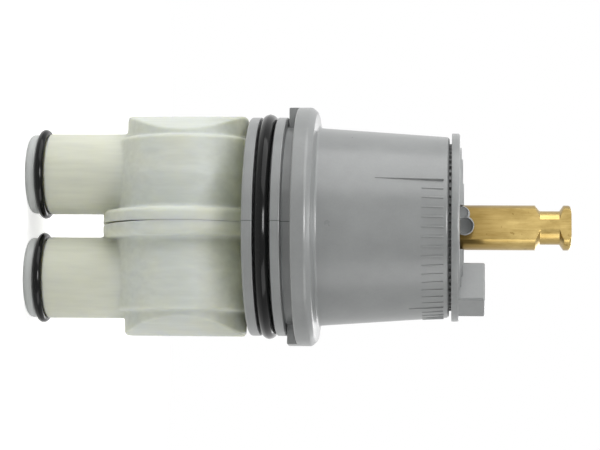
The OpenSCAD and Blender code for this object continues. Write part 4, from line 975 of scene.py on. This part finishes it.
class CARTRIDGE_OT_stem(Operator):
    """Models the brass stem: flange, journal with its grooves, double-D end with its tapped hole"""

    bl_idname = "cartridge.stem"
    bl_label = "Stem"

    def execute(self, context):
        s = in_mm(context.scene.cartridge_sizes)
        count = context.scene.cartridge_counts
        stem = join(self.drive_end(s, count), self.journal(), self.tongue(count))
        finish(stem, "stem", "turned_brass", material_of("milled_brass", milled_brass), "stem")
        return {"FINISHED"}

    def drive_end(self, s, count):
        """Double-D end with the collar, its groove and the tapped hole."""
        foot_z, groove_z, collar_z, groove_r = 85.6, s.stem_top - 6.6, s.stem_top - 2.4, 3.5
        shoulder, runout, flare, edge = 0.9, 0.1, 0.8, 0.12
        drive = turned("stem_turned", rounded([
            (0, foot_z, 0), (s.stem_r, foot_z, 0), (s.stem_r, groove_z - shoulder, 0.1),
            (groove_r, groove_z + runout, 0.3), (groove_r, collar_z, 0.25), (s.stem_r, collar_z + flare, 0.2),
            (s.stem_r, s.stem_top, 0.7), (0, s.stem_top, 0)]), steps=160)
        for way in flat_ways(count):
            cut(drive, (way * s.stem_flat, way))
        apply_modifier(drive, "BEVEL", width=edge * MM, segments=3, limit_method="ANGLE",
                       angle_limit=math.radians(28), use_clamp_overlap=True)
        return combine(drive, self.tapped_hole(s), "DIFFERENCE")

    def tapped_hole(self, s):
        """Cutter for the hole: countersink, thread of 0.8 mm pitch and drill point."""
        core_r, crest_r, pitch, depth, point = 2.0, 2.3, 0.8, 12.0, 0.8
        sink, sink_z, thread_z, run, flat = 1.1, 0.5, 0.7, 1.2, 0.05
        outline = [(0, s.stem_top + PAST), (crest_r + sink, s.stem_top + PAST), (core_r, s.stem_top - sink_z)]
        z = s.stem_top - thread_z
        while z > s.stem_top - depth + run:
            outline += [(core_r, z), (crest_r, z - pitch / 2), (core_r, z - pitch + flat)]
            z -= pitch
        outline += [(core_r, s.stem_top - depth + point), (0, s.stem_top - depth)]
        return turned("tapped_hole", outline, steps=48)

    def journal(self):
        """Journal with a groove for each seal, on its thrust flange."""
        top, journal_r, flange_r, flange_t, groove_r, groove_w = 86.8, 6.0, 9.0, 2.0, 4.4, 1.8
        washer_gap, cord_r = 0.02, 0.8
        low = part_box("thrust_washer")[0].z / MM - washer_gap - flange_t
        seal_low, seal_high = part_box("stem_seals")
        outline = [(0, low, 0), (flange_r, low, 0.2), (flange_r, low + flange_t, 0.2),
                   (journal_r, low + flange_t, 0.1)]
        for z in (seal_low.z / MM + cord_r, seal_high.z / MM - cord_r):
            outline += [(journal_r, z - groove_w / 2, 0.08), (groove_r, z - groove_w / 2, 0.1),
                        (groove_r, z + groove_w / 2, 0.1), (journal_r, z + groove_w / 2, 0.08)]
        outline += [(journal_r, top, 0.5), (0, top, 0)]
        return turned("journal", rounded(outline, facets=3), steps=128)

    def tongue(self, count):
        """Tongue under the thrust flange that drives the disc carrier."""
        low, height, reach, half_w = STEM_LOW.z / MM, 5.0, 7.6, 3.5
        high = low + height
        tongue = turned("tongue", rounded([(0, low, 0), (reach, low, 0.3), (reach, high, 0), (0, high, 0)]),
                        steps=96)
        for way in flat_ways(count):
            cut(tongue, (way * half_w, way))
        return tongue


class CARTRIDGE_OT_check_springs(Operator):
    """Makes each check valve's spring a smooth piece of its own from its CAD node, carried by its poppet"""

    bl_idname = "cartridge.check_springs"
    bl_label = "Check springs"

    def execute(self, context):
        wire = material_of("drawn_wire", drawn_steel, "#A9ACB0", 0.5)
        for side in ("hot", "cold"):
            node, joint = f"{side}_check_spring", f"{side}_check_open"
            spring = bpy.data.objects.new(f"{side}_spring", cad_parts[node].data.copy())
            context.collection.objects.link(spring)
            edit_all(spring)
            merge_all()
            bpy.ops.object.mode_set(mode="OBJECT")
            finish(spring, f"{side}_poppet", "spring_wire", wire, node, even=False)
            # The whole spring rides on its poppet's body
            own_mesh(spring)
        return {"FINISHED"}


class CARTRIDGE_OT_inner_parts(Operator):
    """Gives the parts inside, which keep their CAD shape, their materials"""

    bl_idname = "cartridge.inner_parts"
    bl_label = "Inner parts"

    def execute(self, context):
        rubber = material_of("greased_rubber", greased_rubber)
        steel = material_of("turned_steel", drawn_steel, "#B9BCBF", 0.25)
        white = material_of("lapped_ceramic_white", lapped_ceramic, "#ECEAE2")
        grey = material_of("lapped_ceramic_grey", lapped_ceramic, "#C6C6C0")
        black = material_of("moulded_acetal_black", moulded_acetal, BLACK_ACETAL)
        ivory = material_of("moulded_acetal_ivory", moulded_acetal, "#E6DFC8")
        finishes = {
            "balance_sleeve": steel, "balance_sleeve_plugs": steel, "balance_spool": steel,
            "balance_sleeve_seals": rubber, "port_gasket": rubber, "stem_seals": rubber,
            "hot_poppet_seal": rubber, "cold_poppet_seal": rubber,
            "hot_check_guide": ivory, "cold_check_guide": ivory, "thrust_washer": ivory,
            "fixed_ceramic_disc": white, "moving_ceramic_disc": grey, "disc_carrier": black,
        }
        for name, material in finishes.items():
            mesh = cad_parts[name].data
            mesh.materials.clear()
            mesh.materials.append(material)
        return {"FINISHED"}


# Stage

class CARTRIDGE_OT_stage(Operator):
    """Adds the floor, the lamps, the world and the camera at the photograph's angle"""

    bl_idname = "cartridge.stage"
    bl_label = "Stage"

    def execute(self, context):
        self.floor()
        self.world(context.scene)
        for name, place, size, power, lights in (
                ("lamp_hot_side", (-0.43, -0.19, 0.25), (0.60, 0.50), 2.7, True),
                ("lamp_cold_side", (0.42, -0.22, 0.28), (0.30, 0.40), 1.08, True),
                ("lamp_above", (-0.02, -0.05, 0.55), (0.20, 0.06), 0.5, True),
                ("lamp_glint", (-0.02, -0.46, 0.45), (0.20, 0.20), 3.0, False),
                ("lamp_back", (0.05, 0.50, 0.34), (0.40, 0.30), 1.2, True)):
            self.lamp(name, place, size, power, lights)
        self.camera(context.scene)
        context.scene.view_settings.view_transform = "Standard"
        return {"FINISHED"}

    def floor(self):
        """Round pale floor under the tube ends, white to camera and mirrors, with the object's shadow."""
        radius, fade_from, fade_to = 0.9, 0.06, 0.22
        bpy.ops.mesh.primitive_circle_add(vertices=128, radius=radius, fill_type="NGON", location=(0, 0, 0))
        floor = bpy.context.object
        floor.name = floor.data.name = "floor"
        material = bpy.data.materials.new("floor_paper")
        material.use_nodes = True
        tree = material.node_tree
        tree.nodes.clear()
        shown = self.shown(tree)
        paper = add_node(tree, "BsdfDiffuse", {"Color": linear("#E9E9E7"), "Roughness": 0.6})
        glow = add_node(tree, "Emission", {"Color": (1, 1, 1, 1), "Strength": 0.62})
        bright = add_node(tree, "AddShader", None, {0: paper.outputs["BSDF"], 1: glow.outputs["Emission"]})
        white = add_node(tree, "Emission", {"Color": (1, 1, 1, 1), "Strength": 1.0})
        place = add_node(tree, "TexCoord").outputs["Object"]
        away = add_node(tree, "VectorMath", None, {0: place}, operation="LENGTH")
        far = add_node(tree, "MapRange", {"From Min": fade_from, "From Max": fade_to},
                       {"Value": away.outputs["Value"]}, interpolation_type="SMOOTHSTEP")
        fading = add_node(tree, "MixShader", None,
                          {0: far.outputs["Result"], 1: bright.outputs["Shader"],
                           2: white.outputs["Emission"]})
        mixed = add_node(tree, "MixShader", None,
                         {0: shown, 1: paper.outputs["BSDF"], 2: fading.outputs["Shader"]})
        add_node(tree, "OutputMaterial", None, {"Surface": mixed.outputs["Shader"]})
        floor.data.materials.append(material)

    def shown(self, tree):
        """Socket that is 1 for what the camera, a mirror or glass sees, and 0 for soft light."""
        path = add_node(tree, "LightPath")
        seen = add_node(tree, "Math", None,
                        {0: path.outputs["Is Camera Ray"], 1: path.outputs["Is Glossy Ray"]},
                        operation="MAXIMUM")
        shown = add_node(tree, "Math", None,
                         {0: seen.outputs["Value"], 1: path.outputs["Is Transmission Ray"]},
                         operation="MAXIMUM")
        return shown.outputs["Value"]

    def world(self, scene):
        """Soft light from all round, which the camera and mirrors see as plain white."""
        world = bpy.data.worlds.new("soft_white")
        world.use_nodes = True
        tree = world.node_tree
        tree.nodes.clear()
        soft = add_node(tree, "Background", {"Color": (1, 1, 1, 1), "Strength": 0.17})
        white = add_node(tree, "Background", {"Color": (1, 1, 1, 1), "Strength": 1.0})
        mixed = add_node(tree, "MixShader", None,
                         {0: self.shown(tree), 1: soft.outputs["Background"], 2: white.outputs["Background"]})
        add_node(tree, "OutputWorld", None, {"Surface": mixed.outputs["Shader"]})
        scene.world = world

    def lamp(self, name, place, size, power, lights):
        """Rectangular soft lamp that faces the object, and either lights it or only shows in its gloss."""
        middle = Vector((0, 0, 0.056))
        way = middle - Vector(place)
        bpy.ops.object.light_add(type="AREA", location=place,
                                 rotation=way.to_track_quat("-Z", "Y").to_euler())
        lamp = bpy.context.object
        lamp.name = lamp.data.name = name
        lamp.data.shape = "RECTANGLE"
        lamp.data.size, lamp.data.size_y = size
        lamp.data.energy = power
        lamp.visible_diffuse = lights

    def camera(self, scene):
        """Camera of the photograph, turned on its side because the cartridge lies, its stem to the right."""
        place = Vector((0.0344, -0.4366, 0.091))
        aim = Vector((-0.0004, 0.0, 0.0574))
        roll = math.radians(0.25)
        back = (place - aim).normalized()
        level = (Vector((0, 0, 1)) - back * back.z).normalized()
        right = level * math.cos(roll) + back.cross(level) * math.sin(roll)
        up = back.cross(right)
        bpy.ops.object.camera_add(location=place)
        camera = bpy.context.object
        camera.name = camera.data.name = "camera"
        camera.rotation_mode = "QUATERNION"
        turn = camera.matrix_world.to_3x3()
        for i in range(3):
            turn[i] = (right[i], up[i], back[i])
        camera.rotation_quaternion = turn.to_quaternion()
        camera.data.lens = 125.0
        camera.data.clip_start = 0.01
        camera.data.clip_end = 10.0
        scene.camera = camera


class CARTRIDGE_PT_panel(Panel):
    """Sidebar panel with the cartridge's sizes, colours and steps"""

    bl_idname = "CARTRIDGE_PT_panel"
    bl_label = "Shower Valve Cartridge"
    bl_space_type = "VIEW_3D"
    bl_region_type = "UI"
    bl_category = "Cartridge"

    def draw(self, context):
        scene = context.scene
        for title, group in (("Sizes", scene.cartridge_sizes), ("Repeats", scene.cartridge_counts),
                             ("Colours", scene.cartridge_colours)):
            box = self.layout.box()
            box.label(text=title)
            for key in group.__annotations__:
                box.prop(group, key)
        column = self.layout.column(align=True)
        for step in STEPS:
            column.operator(step.bl_idname)


GROUPS = (CartridgeSizes, CartridgeCounts, CartridgeColours)
STEPS = (
    CARTRIDGE_OT_inlet_halves,
    CARTRIDGE_OT_check_valves,
    CARTRIDGE_OT_seals,
    CARTRIDGE_OT_bonnet,
    CARTRIDGE_OT_limit_stop,
    CARTRIDGE_OT_stem,
    CARTRIDGE_OT_check_springs,
    CARTRIDGE_OT_inner_parts,
    CARTRIDGE_OT_stage,
)


def register():
    for kind in (*GROUPS, *STEPS, CARTRIDGE_PT_panel):
        bpy.utils.register_class(kind)
    bpy.types.Scene.cartridge_sizes = PointerProperty(type=CartridgeSizes)
    bpy.types.Scene.cartridge_counts = PointerProperty(type=CartridgeCounts)
    bpy.types.Scene.cartridge_colours = PointerProperty(type=CartridgeColours)


def unregister():
    del bpy.types.Scene.cartridge_sizes
    del bpy.types.Scene.cartridge_counts
    del bpy.types.Scene.cartridge_colours
    for kind in reversed((*GROUPS, *STEPS, CARTRIDGE_PT_panel)):
        bpy.utils.unregister_class(kind)


def main():
    register()
    bpy.ops.object.select_all(action="DESELECT")
    for step in STEPS:
        group, name = step.bl_idname.split(".")
        getattr(getattr(bpy.ops, group), name)()


if __name__ == "__main__":
    main()
